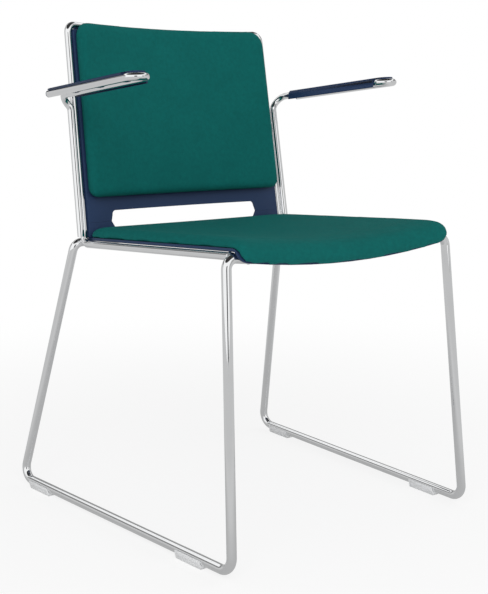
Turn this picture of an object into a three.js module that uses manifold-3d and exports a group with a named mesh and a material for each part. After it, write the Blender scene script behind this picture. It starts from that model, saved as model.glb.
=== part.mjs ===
// Sled base visitor chair: a chromed rod frame with arms, two moulded shells and upholstered pads.
// Millimetres, +Z up. The front faces -Y, and the origin lies on the floor under the middle of the chair.
import * as THREE from "three";
import { mergeVertices } from "three/addons/utils/BufferGeometryUtils.js";
import Module from "manifold-3d";

const wasm = await Module();
wasm.setup();

// Rod stock, and the small gaps that stand in for welds and for parts that rest on each other
const legRodDiameter = 15;
const hoopRodDiameter = 12;
const weldGap = 0.3;
const restGap = 0.5;

// Side sleds: virtual corners of each bent rod's centre line
const frontFloorHalfWidth = 251.3;
const rearFloorHalfWidth = 282.7;
const frontTopHalfWidth = 230.1;
const rearTopHalfWidth = 230.4;
const frontFloorY = -285.9;
const rearFloorY = 289.9;
const frontRodY = -246.8;
const frontTopHeight = 465.2;
const glideDrop = 5;
const floorBendRadius = 22;
const topBendRadius = 16;
const crossJointInset = 40.1;
const frontRodSag = 15;

// Hoop rod: rails, uprights and top bow
const railInset = 11.8;
const hoopTopHalfWidth = 209.5;
const hoopLowerY = 162.5;
const hoopLowerHeight = 445.4;
const hoopTopY = 218;
const hoopTopHeight = 814.1;
const lowerBendRadius = 13;
const topCornerRadius = 15;
const topBowReach = 56;
const topBowDrop = 13;
const rearRodRise = 2.3;
const railProud = 1;

// Arm rods
const armStandoff = 27.66;
const armRunSpacing = 31.6;
const armRearHeight = 695;
const armReach = 282.4;
const armFrontSplay = 5.9;
const armFrontRise = 24.5;
const armFreeEndSetback = 25.1;
const armFlareDrop = 22;
const armFlareBack = 3;
const armFlareRadius = 14;
const armRearRadius = 20;
const armSideAngle = THREE.MathUtils.degToRad(35.3);
const capDome = 2.4;
const capCollar = 1.6;

// Arm pads
const padWall = 2.6;
const padFlangeDrop = 7.4;
const padFrontSetback = 21.3;
const padOuterEndSetback = 3;
const padInnerEndSetback = 16;
const padTongueInset = 0.6;
const padOuterWrap = THREE.MathUtils.degToRad(50);
const padClipLength = 9;
const padClipWrap = THREE.MathUtils.degToRad(-25);
const padClipShares = [0.14, 0.5, 0.86];

// Seat shell and pad
const panOverhang = 0.7;
const panRearSetback = 5.6;
const panWall = 3.5;
const panLip = 5.2;
const panLipWidth = 4;
const panEdgeBevel = 1.2;
const panRodClearance = 1.5;
const panSkirt = 8;
const panSkirtEnd = 5.2;
const panFrontCorner = 18;
const panRearCorner = 29;
const shelfInset = 6.8;
const shelfRearOverhang = 3.5;
const shelfCorner = 6;
const seatPadCrown = 17.5;
const seatPadMiddle = 12.5;
const seatPadCrownInset = 16;
const seatPadBulge = 0.8;
const seatPadLift = 3;
const seatNoseThinning = 9;
const boardThickness = 4;
const boardInset = 46;

// Back shell and pad
const backStandoff = 7;
const backWall = 4;
const backRimDepth = 12;
const backRimWall = 2.6;
const backEdgeRound = 2.4;
const backFootBow = 10;
const backPadGap = 0.9;
const shelfSink = 0.8;
const backFootCorner = 3;
const backPadFootRise = 22.5;
const backPadTopRise = 6.9;
const backPadTopDip = 3;
const backPadFootCorner = 15;
const backPadTopCorner = 25;
const backPadCrown = 22;
const backPadCrownInset = 17;
const backPadWideInset = 2.5;
const backPadSeamInset = 5;
const backPadWideLift = 9;
const seamRise = 35.6;
const slotTopRise = 18;
const slotTopInset = 60.1;
const slotSeamInset = 56.8;
const slotSillDrop = 10;
const slotSillInset = 62.5;
const slotFootInset = 68.3;
const slotCorner = 7;

// Glides
const glideLength = 58;
const glideWall = 2.4;
const glideFootHalfWidth = 7.4;
const glideChamfer = 1.5;
const glideLipAngle = THREE.MathUtils.degToRad(15);
const glideShoulderAngle = THREE.MathUtils.degToRad(-30);
const frontGlideSetback = 91.9;
const rearGlideSetback = 63.9;

// Welded tabs, moulded bosses and their screws
const tabThickness = 3;
const tabLength = 22;
const tabWidth = 22;
const tabCorner = 5.5;
const tabHoleEdge = 10;
const seatTabInset = 98.3;
const backLowerTabRise = 79;
const backUpperTabDrop = 74.1;
const bossDiameter = 13;
const bossHoleDepth = 2;
const screwDiameter = 4.4;
const screwClearance = 0.35;
const screwHeadDiameter = 9;
const screwHeadHeight = 3;

// How far every cutting solid runs past what it cuts
const overrun = 15;

// Counts of facets, and shares that place the rings of the skins
const rodSides = 12;
const bendSteps = 6;
const bowSteps = 14;
const cornerSteps = 4;
const sideSteps = 4;
const wrapSteps = 2;
const crossSteps = 10;
const arcSteps = 4;
const grooveSteps = 7;
const seamSteps = 3;
const crownSteps = 5;
const bossSides = 16;
const screwSides = 10;
const coreShares = [0.28, 0.55, 0.8];
const wrapShares = [1, 0.81, 0.63, 0.45, 0.26];
const capDomeShares = [0.3, 0.6, 0.85];
const screwHeadShares = [[0, 1], [0.6, 0.9], [1, 0.4]];
const bevelShare = 0.3;
const copeShare = 0.5;
const mergeShare = 0.001;

const legRadius = legRodDiameter / 2;
const hoopRadius = hoopRodDiameter / 2;
const runnerHeight = legRadius + glideDrop;
const rearRodHeight = hoopLowerHeight + rearRodRise;
const crossJointHalfWidth = frontTopHalfWidth - crossJointInset;
const railHalfWidth = frontTopHalfWidth - railInset;
const panHalfWidth = railHalfWidth + panOverhang;
const panRearY = hoopLowerY - panRearSetback;
const shelfHalfWidth = railHalfWidth - shelfInset;
const shelfRearY = hoopLowerY + shelfRearOverhang;
const seamHeight = hoopLowerHeight + seamRise;
const slotTopHeight = seamHeight + slotTopRise;
const slotTopHalfWidth = railHalfWidth - slotTopInset;
const seatTabHalfSpacing = railHalfWidth - seatTabInset;

const chrome = new THREE.MeshStandardMaterial({ color: 0xd5d9dd, roughness: 0.08, metalness: 1 });
const navyPlastic = new THREE.MeshStandardMaterial({ color: 0x2c3650, roughness: 0.45, metalness: 0 });
const tealFabric = new THREE.MeshStandardMaterial({ color: 0x18625c, roughness: 0.92, metalness: 0 });
const plywood = new THREE.MeshStandardMaterial({ color: 0xc7a578, roughness: 0.7, metalness: 0 });
const clearPlastic = new THREE.MeshStandardMaterial({ color: 0xc9cdd0, roughness: 0.4, metalness: 0 });
const zincSteel = new THREE.MeshStandardMaterial({ color: 0xb4b8bb, roughness: 0.35, metalness: 1 });

const sides = [
  { name: "left", sign: -1 },
  { name: "right", sign: 1 },
];
const chair = new THREE.Group();

function part(name, geometry, material, parent = chair) {
  const mesh = new THREE.Mesh(geometry, material);
  mesh.name = name;
  parent.add(mesh);
  return mesh;
}

// Solids for joining and cutting
function solidOf(geometry) {
  const bare = geometry.clone();
  bare.deleteAttribute("normal");
  bare.deleteAttribute("uv");
  const merged = mergeVertices(bare, weldGap * mergeShare);
  const vertProperties = merged.attributes.position.array;
  const triVerts = new Uint32Array(merged.index.array);
  return new wasm.Manifold(new wasm.Mesh({ numProp: 3, vertProperties, triVerts }));
}

function geometryOf(solid) {
  const mesh = solid.getMesh();
  const positions = new THREE.Float32BufferAttribute(mesh.vertProperties, mesh.numProp);
  const indexed = new THREE.BufferGeometry().setAttribute("position", positions);
  indexed.setIndex(new THREE.Uint32BufferAttribute(mesh.triVerts, 1));
  const faceted = indexed.toNonIndexed();
  faceted.computeVertexNormals();
  return faceted;
}

// A rod's centre line: straight runs joined by circular bends, with its stations only where it bends.
class RodLine extends THREE.Curve {
  constructor(corners) {
    super();
    this.stations = [];
    const inner = corners.slice(1, -1).map((corner, i) => {
      const back = corners[i].at.clone().sub(corner.at);
      const ahead = corners[i + 2].at.clone().sub(corner.at);
      const turn = Math.PI - back.angleTo(ahead);
      const reach = corner.radius * Math.tan(turn / 2);
      return { ...corner, back, ahead, turn, reach };
    });
    inner.forEach((bend, i) => {
      if (bend.radius !== Infinity) return;
      const before = inner[i - 1] ? inner[i - 1].reach : 0;
      const after = inner[i + 1] ? inner[i + 1].reach : 0;
      bend.reach = Math.min(bend.back.length() - before, bend.ahead.length() - after);
      bend.radius = bend.reach / Math.tan(bend.turn / 2);
    });
    this.addEnd(corners[0].at, corners[1].at.clone().sub(corners[0].at));
    inner.forEach((bend) => this.addBend(bend));
    const last = corners[corners.length - 1].at;
    this.addEnd(last, last.clone().sub(corners[corners.length - 2].at));
  }

  addEnd(point, along) {
    this.addStation(point.clone(), along.clone().normalize());
  }

  addBend({ at, back, ahead, turn, reach, radius, steps = bendSteps }) {
    const inward = back.clone().normalize();
    const outward = ahead.clone().normalize();
    const axis = new THREE.Vector3().crossVectors(outward, inward).normalize();
    const start = at.clone().addScaledVector(inward, reach);
    const toCentre = new THREE.Vector3().crossVectors(inward, axis).multiplyScalar(-radius);
    if (toCentre.dot(outward) < 0) toCentre.negate();
    const centre = start.clone().add(toCentre);
    const travel = inward.clone().negate();
    const hinge = new THREE.Vector3().crossVectors(travel, outward).normalize();
    for (let i = 0; i <= steps; i += 1) {
      const angle = (turn * i) / steps;
      const spoke = toCentre.clone().negate().applyAxisAngle(hinge, angle);
      this.addStation(centre.clone().add(spoke), travel.clone().applyAxisAngle(hinge, angle));
    }
  }

  addStation(point, tangent) {
    const last = this.stations[this.stations.length - 1];
    if (last && last.point.distanceTo(point) < weldGap) return;
    this.stations.push({ point, tangent });
  }

  get steps() {
    return this.stations.length - 1;
  }

  getPointAt(share) {
    return this.stations[Math.round(share * this.steps)].point.clone();
  }

  getTangentAt(share) {
    return this.stations[Math.round(share * this.steps)].tangent.clone();
  }
}

function rod(corners, radius) {
  const line = new RodLine(corners);
  const section = new THREE.Shape().absarc(0, 0, radius, 0, 2 * Math.PI);
  const settings = { steps: line.steps, extrudePath: line, curveSegments: rodSides / 2 };
  return new THREE.ExtrudeGeometry(section, settings);
}

// Moulded and padded skins: an outline of rounded corners, shrunk ring by ring and laid on a bent sheet
function roundedOutline(corners) {
  const points = [];
  const count = corners.length;
  const bends = corners.map((corner, i) => {
    const here = new THREE.Vector2(corner.x, corner.y);
    const back = corners[(i + count - 1) % count];
    const ahead = corners[(i + 1) % count];
    const inward = new THREE.Vector2(back.x, back.y).sub(here).normalize();
    const outward = new THREE.Vector2(ahead.x, ahead.y).sub(here).normalize();
    const half = Math.acos(inward.dot(outward)) / 2;
    const reach = corner.radius / Math.tan(half);
    const bisector = inward.clone().add(outward).normalize();
    return {
      ...corner,
      sweep: Math.PI - 2 * half,
      start: here.clone().addScaledVector(inward, reach),
      end: here.clone().addScaledVector(outward, reach),
      centre: here.clone().addScaledVector(bisector, corner.radius / Math.sin(half)),
    };
  });
  bends.forEach(({ start, end, centre, sweep, radius, steps }, i) => {
    const first = start.clone().sub(centre).angle();
    const arcCount = radius > 0 ? cornerSteps : 0;
    for (let k = 0; k <= arcCount; k += 1) {
      const angle = first + (sweep * k) / cornerSteps;
      points.push(new THREE.Vector2(Math.cos(angle), Math.sin(angle)).multiplyScalar(radius).add(centre));
    }
    const next = bends[(i + 1) % count].start;
    for (let k = 1; k < steps; k += 1) points.push(end.clone().lerp(next, k / steps));
  });
  const box = new THREE.Box2().setFromPoints(points);
  const centre = box.getCenter(new THREE.Vector2());
  return { points, centre, half: box.getSize(new THREE.Vector2()).divideScalar(2) };
}

function shrunk(outline, scaleX, scaleY) {
  return outline.points.map((p) => {
    const x = outline.centre.x + (p.x - outline.centre.x) * scaleX;
    return new THREE.Vector2(x, outline.centre.y + (p.y - outline.centre.y) * scaleY);
  });
}

function insetRing(outline, inset) {
  return shrunk(outline, 1 - inset / outline.half.x, 1 - inset / outline.half.y);
}

// Rings of a flat face from its middle outwards, each at the same height above the sheet
function coreRings(outline, inset, height) {
  const edgeX = 1 - inset / outline.half.x;
  const edgeY = 1 - inset / outline.half.y;
  return coreShares.map((share) => {
    const ring = shrunk(outline, edgeX * share, edgeY * share);
    return { ring, height: () => height };
  });
}

function level(outline, inset, height) {
  return { ring: insetRing(outline, inset), height: () => height };
}

function skin(outline, levels, place) {
  const positions = [];
  const count = outline.points.length;
  const first = levels[0];
  const last = levels[levels.length - 1];
  place(outline.centre.x, outline.centre.y, first.height(0)).toArray(positions, 0);
  for (const { ring, height } of levels) {
    for (const p of ring) {
      const off = p.clone().sub(outline.centre).divide(outline.half).length();
      place(p.x, p.y, height(Math.min(off, 1))).toArray(positions, positions.length);
    }
  }
  place(outline.centre.x, outline.centre.y, last.height(0)).toArray(positions, positions.length);
  const indices = [];
  const at = (i) => new THREE.Vector3().fromArray(positions, 3 * i);
  const ringStart = (row) => 1 + row * count;
  for (let i = 0; i < count; i += 1) {
    const next = (i + 1) % count;
    indices.push(0, ringStart(0) + next, ringStart(0) + i);
    for (let row = 0; row + 1 < levels.length; row += 1) {
      const a = ringStart(row) + i;
      const b = ringStart(row) + next;
      const c = ringStart(row + 1) + next;
      const d = ringStart(row + 1) + i;
      const straight = at(a).distanceTo(at(c)) < at(b).distanceTo(at(d));
      indices.push(...(straight ? [a, b, c, a, c, d] : [a, b, d, b, c, d]));
    }
    const tail = ringStart(levels.length - 1);
    indices.push(tail + i, tail + next, tail + count);
  }
  const geometry = new THREE.BufferGeometry();
  geometry.setAttribute("position", new THREE.Float32BufferAttribute(positions, 3));
  geometry.setIndex(indices);
  return facingOut(geometry);
}

// Turns a closed skin's faces outwards, judged by the sign of the volume that they enclose.
function facingOut(geometry) {
  const { position } = geometry.attributes;
  const index = geometry.index.array;
  const corner = (i) => new THREE.Vector3().fromBufferAttribute(position, index[i]);
  let volume = 0;
  for (let i = 0; i < index.length; i += 3) {
    volume += corner(i).dot(corner(i + 1).cross(corner(i + 2)));
  }
  if (volume < 0) {
    for (let i = 0; i < index.length; i += 3) [index[i + 1], index[i + 2]] = [index[i + 2], index[i + 1]];
  }
  geometry.computeVertexNormals();
  return geometry;
}

// A padded edge in section: from the seam out to the widest point, then over to the crown
function paddedEdge(outline, seam, wide, crown) {
  const reach = crown.inset - wide.inset;
  const seamAngle = Math.acos((crown.inset - seam.inset) / reach);
  const levels = [];
  for (let i = 0; i < seamSteps; i += 1) {
    const angle = seamAngle * (1 - i / seamSteps);
    const height = wide.height - ((wide.height - seam.height) * Math.sin(angle)) / Math.sin(seamAngle);
    levels.push(level(outline, crown.inset - reach * Math.cos(angle), height));
  }
  for (let i = 0; i <= crownSteps; i += 1) {
    const angle = (Math.PI / 2) * (i / crownSteps);
    const height = wide.height + (crown.height - wide.height) * Math.sin(angle);
    levels.push(level(outline, crown.inset - reach * Math.cos(angle), height));
  }
  return levels;
}

// Front rod: straight from each sled's bend to the joint, then one shallow arc that dips in the middle
const frontRodSlope = frontRodSag / (frontTopHalfWidth - crossJointHalfWidth / 2);

function frontRodHeight(x) {
  const reach = Math.abs(x);
  const lineHeight = frontTopHeight - frontRodSlope * (frontTopHalfWidth - reach);
  const inward = Math.max(crossJointHalfWidth - reach, 0);
  return lineHeight + (frontRodSlope * inward * inward) / (2 * crossJointHalfWidth);
}

// The rails' tops stand a little proud of the front rod, so that the seat shell bears on the rails.
const railFrontHeight = frontRodHeight(railHalfWidth) + legRadius + railProud - hoopRadius;

// The rear rod lies behind the hoop's lower bend and is welded to it.
function rearRodPlace() {
  const corner = new THREE.Vector2(hoopLowerY, hoopLowerHeight);
  const along = new THREE.Vector2(frontRodY, railFrontHeight).sub(corner).normalize();
  const up = new THREE.Vector2(hoopTopY, hoopTopHeight).sub(corner).normalize();
  const half = Math.acos(along.dot(up)) / 2;
  const bisector = along.clone().add(up).normalize();
  const centre = corner.clone().addScaledVector(bisector, lowerBendRadius / Math.sin(half));
  const apart = lowerBendRadius + hoopRadius + legRadius + weldGap;
  const behind = Math.sqrt(apart ** 2 - (centre.y - rearRodHeight) ** 2);
  return { y: centre.x + behind, reach: lowerBendRadius / Math.tan(half) };
}

const { y: rearRodY, reach: lowerBendReach } = rearRodPlace();

function sledCorners(sign) {
  const jointHeight = frontRodHeight(crossJointHalfWidth);
  return [
    { at: new THREE.Vector3(sign * crossJointHalfWidth, rearRodY, rearRodHeight) },
    { at: new THREE.Vector3(sign * rearTopHalfWidth, rearRodY, rearRodHeight), radius: topBendRadius },
    { at: new THREE.Vector3(sign * rearFloorHalfWidth, rearFloorY, runnerHeight), radius: floorBendRadius },
    { at: new THREE.Vector3(sign * frontFloorHalfWidth, frontFloorY, runnerHeight), radius: floorBendRadius },
    { at: new THREE.Vector3(sign * frontTopHalfWidth, frontRodY, frontTopHeight), radius: topBendRadius },
    { at: new THREE.Vector3(sign * crossJointHalfWidth, frontRodY, jointHeight) },
  ];
}

for (const { name, sign } of sides) part(`sled_${name}`, rod(sledCorners(sign), legRadius), chrome);

// Cross rods butt against the sleds' inturned ends.
const crossEnd = crossJointHalfWidth - weldGap;
const rearRodCorners = sides.map(({ sign }) => {
  return { at: new THREE.Vector3(sign * crossEnd, rearRodY, rearRodHeight) };
});
part("rear_cross_rod", rod(rearRodCorners, legRadius), chrome);

const frontRodApex = frontTopHeight - frontRodSlope * frontTopHalfWidth;
const frontRodCorners = [
  { at: new THREE.Vector3(-crossEnd, frontRodY, frontRodHeight(crossEnd)) },
  { at: new THREE.Vector3(0, frontRodY, frontRodApex), radius: Infinity, steps: bowSteps },
  { at: new THREE.Vector3(crossEnd, frontRodY, frontRodHeight(crossEnd)) },
];
part("front_cross_rod", rod(frontRodCorners, legRadius), chrome);

// Hoop rod: its rail ends are coped to sit on the sleds' front bends.
function hoopSide(sign) {
  return [
    { at: new THREE.Vector3(sign * railHalfWidth, frontRodY, railFrontHeight) },
    { at: new THREE.Vector3(sign * railHalfWidth, hoopLowerY, hoopLowerHeight), radius: lowerBendRadius },
    { at: new THREE.Vector3(sign * hoopTopHalfWidth, hoopTopY, hoopTopHeight), radius: topCornerRadius },
  ];
}

const topApex = new THREE.Vector3(0, hoopTopY + topBowReach, hoopTopHeight - topBowDrop);
const hoopCorners = [
  ...hoopSide(-1),
  { at: topApex, radius: Infinity, steps: bowSteps },
  ...hoopSide(1).reverse(),
];
let hoop = solidOf(rod(hoopCorners, hoopRadius));
for (const { sign } of sides) {
  const frontEnd = sledCorners(sign).slice(-3);
  frontEnd[0] = { at: frontEnd[0].at.clone().lerp(frontEnd[1].at, copeShare) };
  hoop = hoop.subtract(solidOf(rod(frontEnd, legRadius + weldGap)));
}
part("hoop_rod", geometryOf(hoop), chrome);

// A point on an upright's centre line at a height, on the right-hand side
function uprightAt(height) {
  const share = (height - hoopLowerHeight) / (hoopTopHeight - hoopLowerHeight);
  const x = THREE.MathUtils.lerp(railHalfWidth, hoopTopHalfWidth, share);
  return new THREE.Vector3(x, THREE.MathUtils.lerp(hoopLowerY, hoopTopY, share), height);
}

// Arm rods: up beside the upright, flared out, forward, round a hairpin and back to a free end
const armRunY = (height) => uprightAt(height).y;
const armRearY = armRunY(armRearHeight) + armFlareBack - hoopRadius;
const armFrontY = armRearY - armReach;
const armFreeEndY = armRearY - armFreeEndSetback;
const armInnerHalfWidth = uprightAt(armRearHeight).x + armStandoff;
const armSlope = armFrontRise / armReach;
const armSplay = Math.atan(armFrontSplay / armReach);
const armTilt = Math.atan(armSlope * Math.cos(armSplay));

// A point level across from the inner run's point at y, on the right-hand side
function armAt(y, across) {
  const run = armRearY - y;
  const x = armInnerHalfWidth + run * Math.tan(armSplay);
  const inner = new THREE.Vector3(x, y, armRearHeight + run * armSlope);
  return inner.add(new THREE.Vector3(across * Math.cos(armSplay), across * Math.sin(armSplay), 0));
}

function armCorners(sign) {
  const up = uprightAt(hoopTopHeight).sub(uprightAt(hoopLowerHeight)).normalize();
  const outward = new THREE.Vector3(1, 0, 0).projectOnPlane(up).normalize();
  const forward = new THREE.Vector3().crossVectors(up, outward).negate();
  const apart = hoopRodDiameter + weldGap;
  const beside = outward.multiplyScalar(apart * Math.cos(armSideAngle));
  beside.addScaledVector(forward, apart * Math.sin(armSideAngle));
  const foot = uprightAt(hoopLowerHeight).addScaledVector(up, lowerBendReach + restGap).add(beside);
  const flare = uprightAt(armRearHeight - armFlareDrop).add(beside);
  const corners = [
    { at: foot },
    { at: flare, radius: armFlareRadius },
    { at: armAt(armRearY, 0), radius: armRearRadius },
    { at: armAt(armFrontY, 0), radius: armRunSpacing / 2 },
    { at: armAt(armFrontY, armRunSpacing), radius: armRunSpacing / 2 },
    { at: armAt(armFreeEndY, armRunSpacing) },
  ];
  corners.forEach(({ at }) => at.setX(at.x * sign));
  return corners;
}

const padFrontY = armFrontY + padFrontSetback;
const padOuterEndY = armFreeEndY - padOuterEndSetback;
const padInnerEndY = armFreeEndY - padInnerEndSetback;

function capDomePoint(angle) {
  return new THREE.Vector2(hoopRadius * Math.cos(angle), capCollar + capDome * Math.sin(angle));
}

// The arm pad's own frame: x across the two runs, y up from their axes, z forward along them
function padPlace(geometry, sign, y) {
  const centre = armAt(y, armRunSpacing / 2);
  geometry.rotateX(Math.PI / 2 - armTilt).rotateZ(sign * armSplay);
  return geometry.translate(sign * centre.x, centre.y, centre.z);
}

function padSection(sign) {
  const run = armRunSpacing / 2;
  const groove = hoopRadius + weldGap;
  const crest = groove + padWall;
  const shape = new THREE.Shape();
  shape.moveTo(run, crest);
  shape.lineTo(-run, crest);
  shape.absarc(-run, 0, crest, Math.PI / 2, Math.PI, false);
  shape.lineTo(-run - crest, -padFlangeDrop);
  shape.lineTo(-run - groove, -padFlangeDrop);
  shape.lineTo(-run - groove, 0);
  shape.absarc(-run, 0, groove, Math.PI, Math.PI / 2, true);
  shape.lineTo(run, groove);
  shape.absarc(run, 0, groove, Math.PI / 2, padOuterWrap, true);
  shape.lineTo(run + crest * Math.cos(padOuterWrap), crest * Math.sin(padOuterWrap));
  shape.absarc(run, 0, crest, padOuterWrap, Math.PI / 2, false);
  return new THREE.Shape(shape.getPoints(arcSteps).map((p) => p.setX(sign * p.x)));
}

function clipSection() {
  const run = armRunSpacing / 2;
  const groove = hoopRadius + weldGap;
  const shape = new THREE.Shape();
  shape.absarc(-run, 0, groove, padClipWrap, Math.PI / 2, false);
  shape.lineTo(-run, groove + padWall / 2);
  shape.lineTo(run, groove + padWall / 2);
  shape.absarc(run, 0, groove, Math.PI / 2, Math.PI - padClipWrap, false);
  return shape;
}

// Cuts the pad's rear end on a slant, further forward on the inner side
function rearBite(sign) {
  const run = armRunSpacing / 2 + hoopRadius;
  const slant = (padOuterEndY - padInnerEndY) / (2 * run);
  const wedge = new THREE.Shape();
  wedge.moveTo(sign * (run + overrun), padOuterEndY + slant * overrun);
  wedge.lineTo(-sign * (run + overrun), padInnerEndY - slant * overrun);
  wedge.lineTo(-sign * (run + overrun), padOuterEndY + overrun);
  wedge.lineTo(sign * (run + overrun), padOuterEndY + overrun);
  const depth = 2 * (overrun + hoopRadius + padWall);
  const bite = new THREE.ExtrudeGeometry(wedge, { depth, bevelEnabled: false });
  const centre = armAt(padOuterEndY, armRunSpacing / 2);
  return solidOf(bite.translate(sign * centre.x, 0, centre.z - depth / 2));
}

// The pad's top runs on over the hairpin as a rounded tongue, clear of the rod.
function tongueSolid(sign) {
  const half = armRunSpacing / 2 - padTongueInset;
  const length = (padFrontY - armFrontY) / Math.cos(armTilt);
  const shape = new THREE.Shape();
  shape.moveTo(half, padWall);
  shape.absarc(0, armRunSpacing / 2 - length, half, 0, -Math.PI, true);
  shape.lineTo(-half, padWall);
  const settings = { depth: padWall, bevelEnabled: false, curveSegments: rodSides };
  const tongue = new THREE.ExtrudeGeometry(shape, settings);
  tongue.translate(0, 0, hoopRadius + weldGap).rotateX(-armTilt).rotateZ(sign * armSplay);
  const root = armAt(padFrontY, armRunSpacing / 2);
  return solidOf(tongue.translate(sign * root.x, root.y, root.z));
}

for (const { name, sign } of sides) {
  part(`arm_rod_${name}`, rod(armCorners(sign), hoopRadius), chrome);

  const cap = new THREE.LatheGeometry(
    [
      new THREE.Vector2(0, 0),
      new THREE.Vector2(hoopRadius, 0),
      new THREE.Vector2(hoopRadius, capCollar),
      ...capDomeShares.map((share) => capDomePoint((share * Math.PI) / 2)),
      new THREE.Vector2(0, capCollar + capDome),
    ],
    rodSides,
  );
  const capMesh = part(`arm_rod_cap_${name}`, cap, navyPlastic);
  const capPlace = armAt(armFreeEndY + weldGap, armRunSpacing);
  capMesh.position.set(sign * capPlace.x, capPlace.y, capPlace.z);
  capMesh.rotation.set(-armTilt, 0, sign * armSplay, "ZXY");

  const padLength = (padOuterEndY - padFrontY) / (Math.cos(armTilt) * Math.cos(armSplay));
  const settings = { depth: padLength, bevelEnabled: false, curveSegments: arcSteps };
  let pad = solidOf(padPlace(new THREE.ExtrudeGeometry(padSection(sign), settings), sign, padOuterEndY));
  pad = pad.add(tongueSolid(sign));
  for (const share of padClipShares) {
    const clip = new THREE.ExtrudeGeometry(clipSection(), { ...settings, depth: padClipLength });
    const clipY = THREE.MathUtils.lerp(padInnerEndY, padFrontY, share) + padClipLength / 2;
    pad = pad.add(solidOf(padPlace(clip, sign, clipY)));
  }
  pad = pad.subtract(rearBite(sign));
  part(`arm_pad_${name}`, geometryOf(pad), navyPlastic);
}

// Seat shell: a dished pan on the rails, wrapped over the front rod with a short skirt in front of it
const railRise = (railFrontHeight - hoopLowerHeight) / (hoopLowerY - frontRodY);
const panFlat = panRearY - frontRodY;
const panWrapRadius = legRadius + panRodClearance;
const wrapMeasure = panWrapRadius + panLip;
const wrapEnd = panFlat + (wrapMeasure * Math.PI) / 2;
const panFront = wrapEnd + panSkirt;
const panTop = panWall + restGap;

function panHeight(x, y) {
  const side = hoopLowerHeight + railRise * (hoopLowerY - y) + hoopRadius + restGap;
  const drop = (frontRodHeight(railHalfWidth) - frontRodHeight(x)) * ((panRearY - y) / panFlat);
  return side - drop;
}

function onSeat(x, forward, height) {
  const y = panRearY - forward;
  if (forward <= panFlat) return new THREE.Vector3(x, y, panHeight(x, y) + height);
  const turn = Math.min((forward - panFlat) / wrapMeasure, Math.PI / 2);
  const radius = panWrapRadius + height;
  const skirt = THREE.MathUtils.lerp(panSkirt, panSkirtEnd, (x / panHalfWidth) ** 2);
  const drop = (skirt * Math.max(forward - wrapEnd, 0)) / panSkirt;
  const centre = panHeight(x, frontRodY) - panWrapRadius - drop;
  return new THREE.Vector3(x, frontRodY - radius * Math.sin(turn), centre + radius * Math.cos(turn));
}

const seatOutline = roundedOutline([
  { x: -panHalfWidth, y: 0, radius: panRearCorner, steps: crossSteps },
  { x: panHalfWidth, y: 0, radius: panRearCorner, steps: sideSteps },
  { x: panHalfWidth, y: panFlat, radius: 0, steps: wrapSteps },
  { x: panHalfWidth, y: panFront, radius: panFrontCorner, steps: crossSteps },
  { x: -panHalfWidth, y: panFront, radius: panFrontCorner, steps: wrapSteps },
  { x: -panHalfWidth, y: panFlat, radius: 0, steps: sideSteps },
]);

// Rings that follow the wrapped front closely
const wrapReach = panFront - panFlat;
const wrapLevels = (height) => wrapShares.map((share) => level(seatOutline, wrapReach * share, height));

const panLevels = [
  ...coreRings(seatOutline, boardInset, 0),
  level(seatOutline, boardInset, 0),
  ...wrapLevels(0),
  level(seatOutline, panWall, 0),
  level(seatOutline, 0, panEdgeBevel),
  level(seatOutline, 0, panLip),
  level(seatOutline, panLipWidth, panLip),
  level(seatOutline, panLipWidth + panWall / 2, panWall),
  ...wrapLevels(panWall).reverse(),
  level(seatOutline, boardInset, panWall),
  ...coreRings(seatOutline, boardInset, panWall).reverse(),
];
let seatShell = solidOf(skin(seatOutline, panLevels, onSeat));

// Back shell: a bowed panel inside the hoop, with a rim turned back along its edges
function backEdge(height) {
  return uprightAt(height).x - hoopRadius - weldGap;
}

const backFootHeight = rearRodHeight + legRadius + weldGap;
const backTopHeight = hoopTopHeight - hoopRadius - restGap;
const topBowShare = 1 - (hoopTopHalfWidth - topCornerRadius) / (2 * hoopTopHalfWidth);
const topBowDepth = topBowReach * topBowShare;
const topBowDip = topBowDrop * topBowShare;

// The shell's top edge dips as much as the bow above it; the pad's own edge dips less.
function onBack(x, height, forward, topDip = topBowDip) {
  const rise = (height - backFootHeight) / (backTopHeight - backFootHeight);
  const spread = 1 - (x / backEdge(height)) ** 2;
  const bow = THREE.MathUtils.lerp(backFootBow, topBowDepth, rise) * spread;
  const y = uprightAt(height).y - backStandoff + bow - forward;
  return new THREE.Vector3(x, y, height - topDip * rise * spread);
}

function backOutline(foot, top, footCorner, topCorner) {
  return roundedOutline([
    { x: -backEdge(foot), y: foot, radius: footCorner, steps: crossSteps },
    { x: backEdge(foot), y: foot, radius: footCorner, steps: sideSteps },
    { x: backEdge(top), y: top, radius: topCorner, steps: crossSteps },
    { x: -backEdge(top), y: top, radius: topCorner, steps: sideSteps },
  ]);
}

const shellCorner = topCornerRadius - hoopRadius - weldGap;
const shellOutline = backOutline(backFootHeight, backTopHeight, backFootCorner, shellCorner);
const shellLevels = [
  ...coreRings(shellOutline, backEdgeRound, 0),
  level(shellOutline, backEdgeRound, 0),
  level(shellOutline, backEdgeRound * bevelShare, -backEdgeRound * bevelShare),
  level(shellOutline, 0, -backEdgeRound),
  level(shellOutline, 0, -backRimDepth),
  level(shellOutline, backRimWall, -backRimDepth),
  level(shellOutline, backRimWall, -backWall - backEdgeRound / 2),
  level(shellOutline, backRimWall + backEdgeRound / 2, -backWall),
  ...coreRings(shellOutline, backEdgeRound, -backWall).reverse(),
];
const backPanel = solidOf(skin(shellOutline, shellLevels, onBack));

// The slot at the panel's foot, and the level seam between the back shell and the seat shell's corners
function throughBack(shape) {
  const depth = 2 * (hoopTopY - hoopLowerY + topBowDepth + backRimDepth + overrun);
  const geometry = new THREE.ExtrudeGeometry(shape, { depth, bevelEnabled: false, curveSegments: arcSteps });
  return solidOf(geometry.rotateX(Math.PI / 2).translate(0, hoopLowerY + depth / 2, 0));
}

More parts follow.
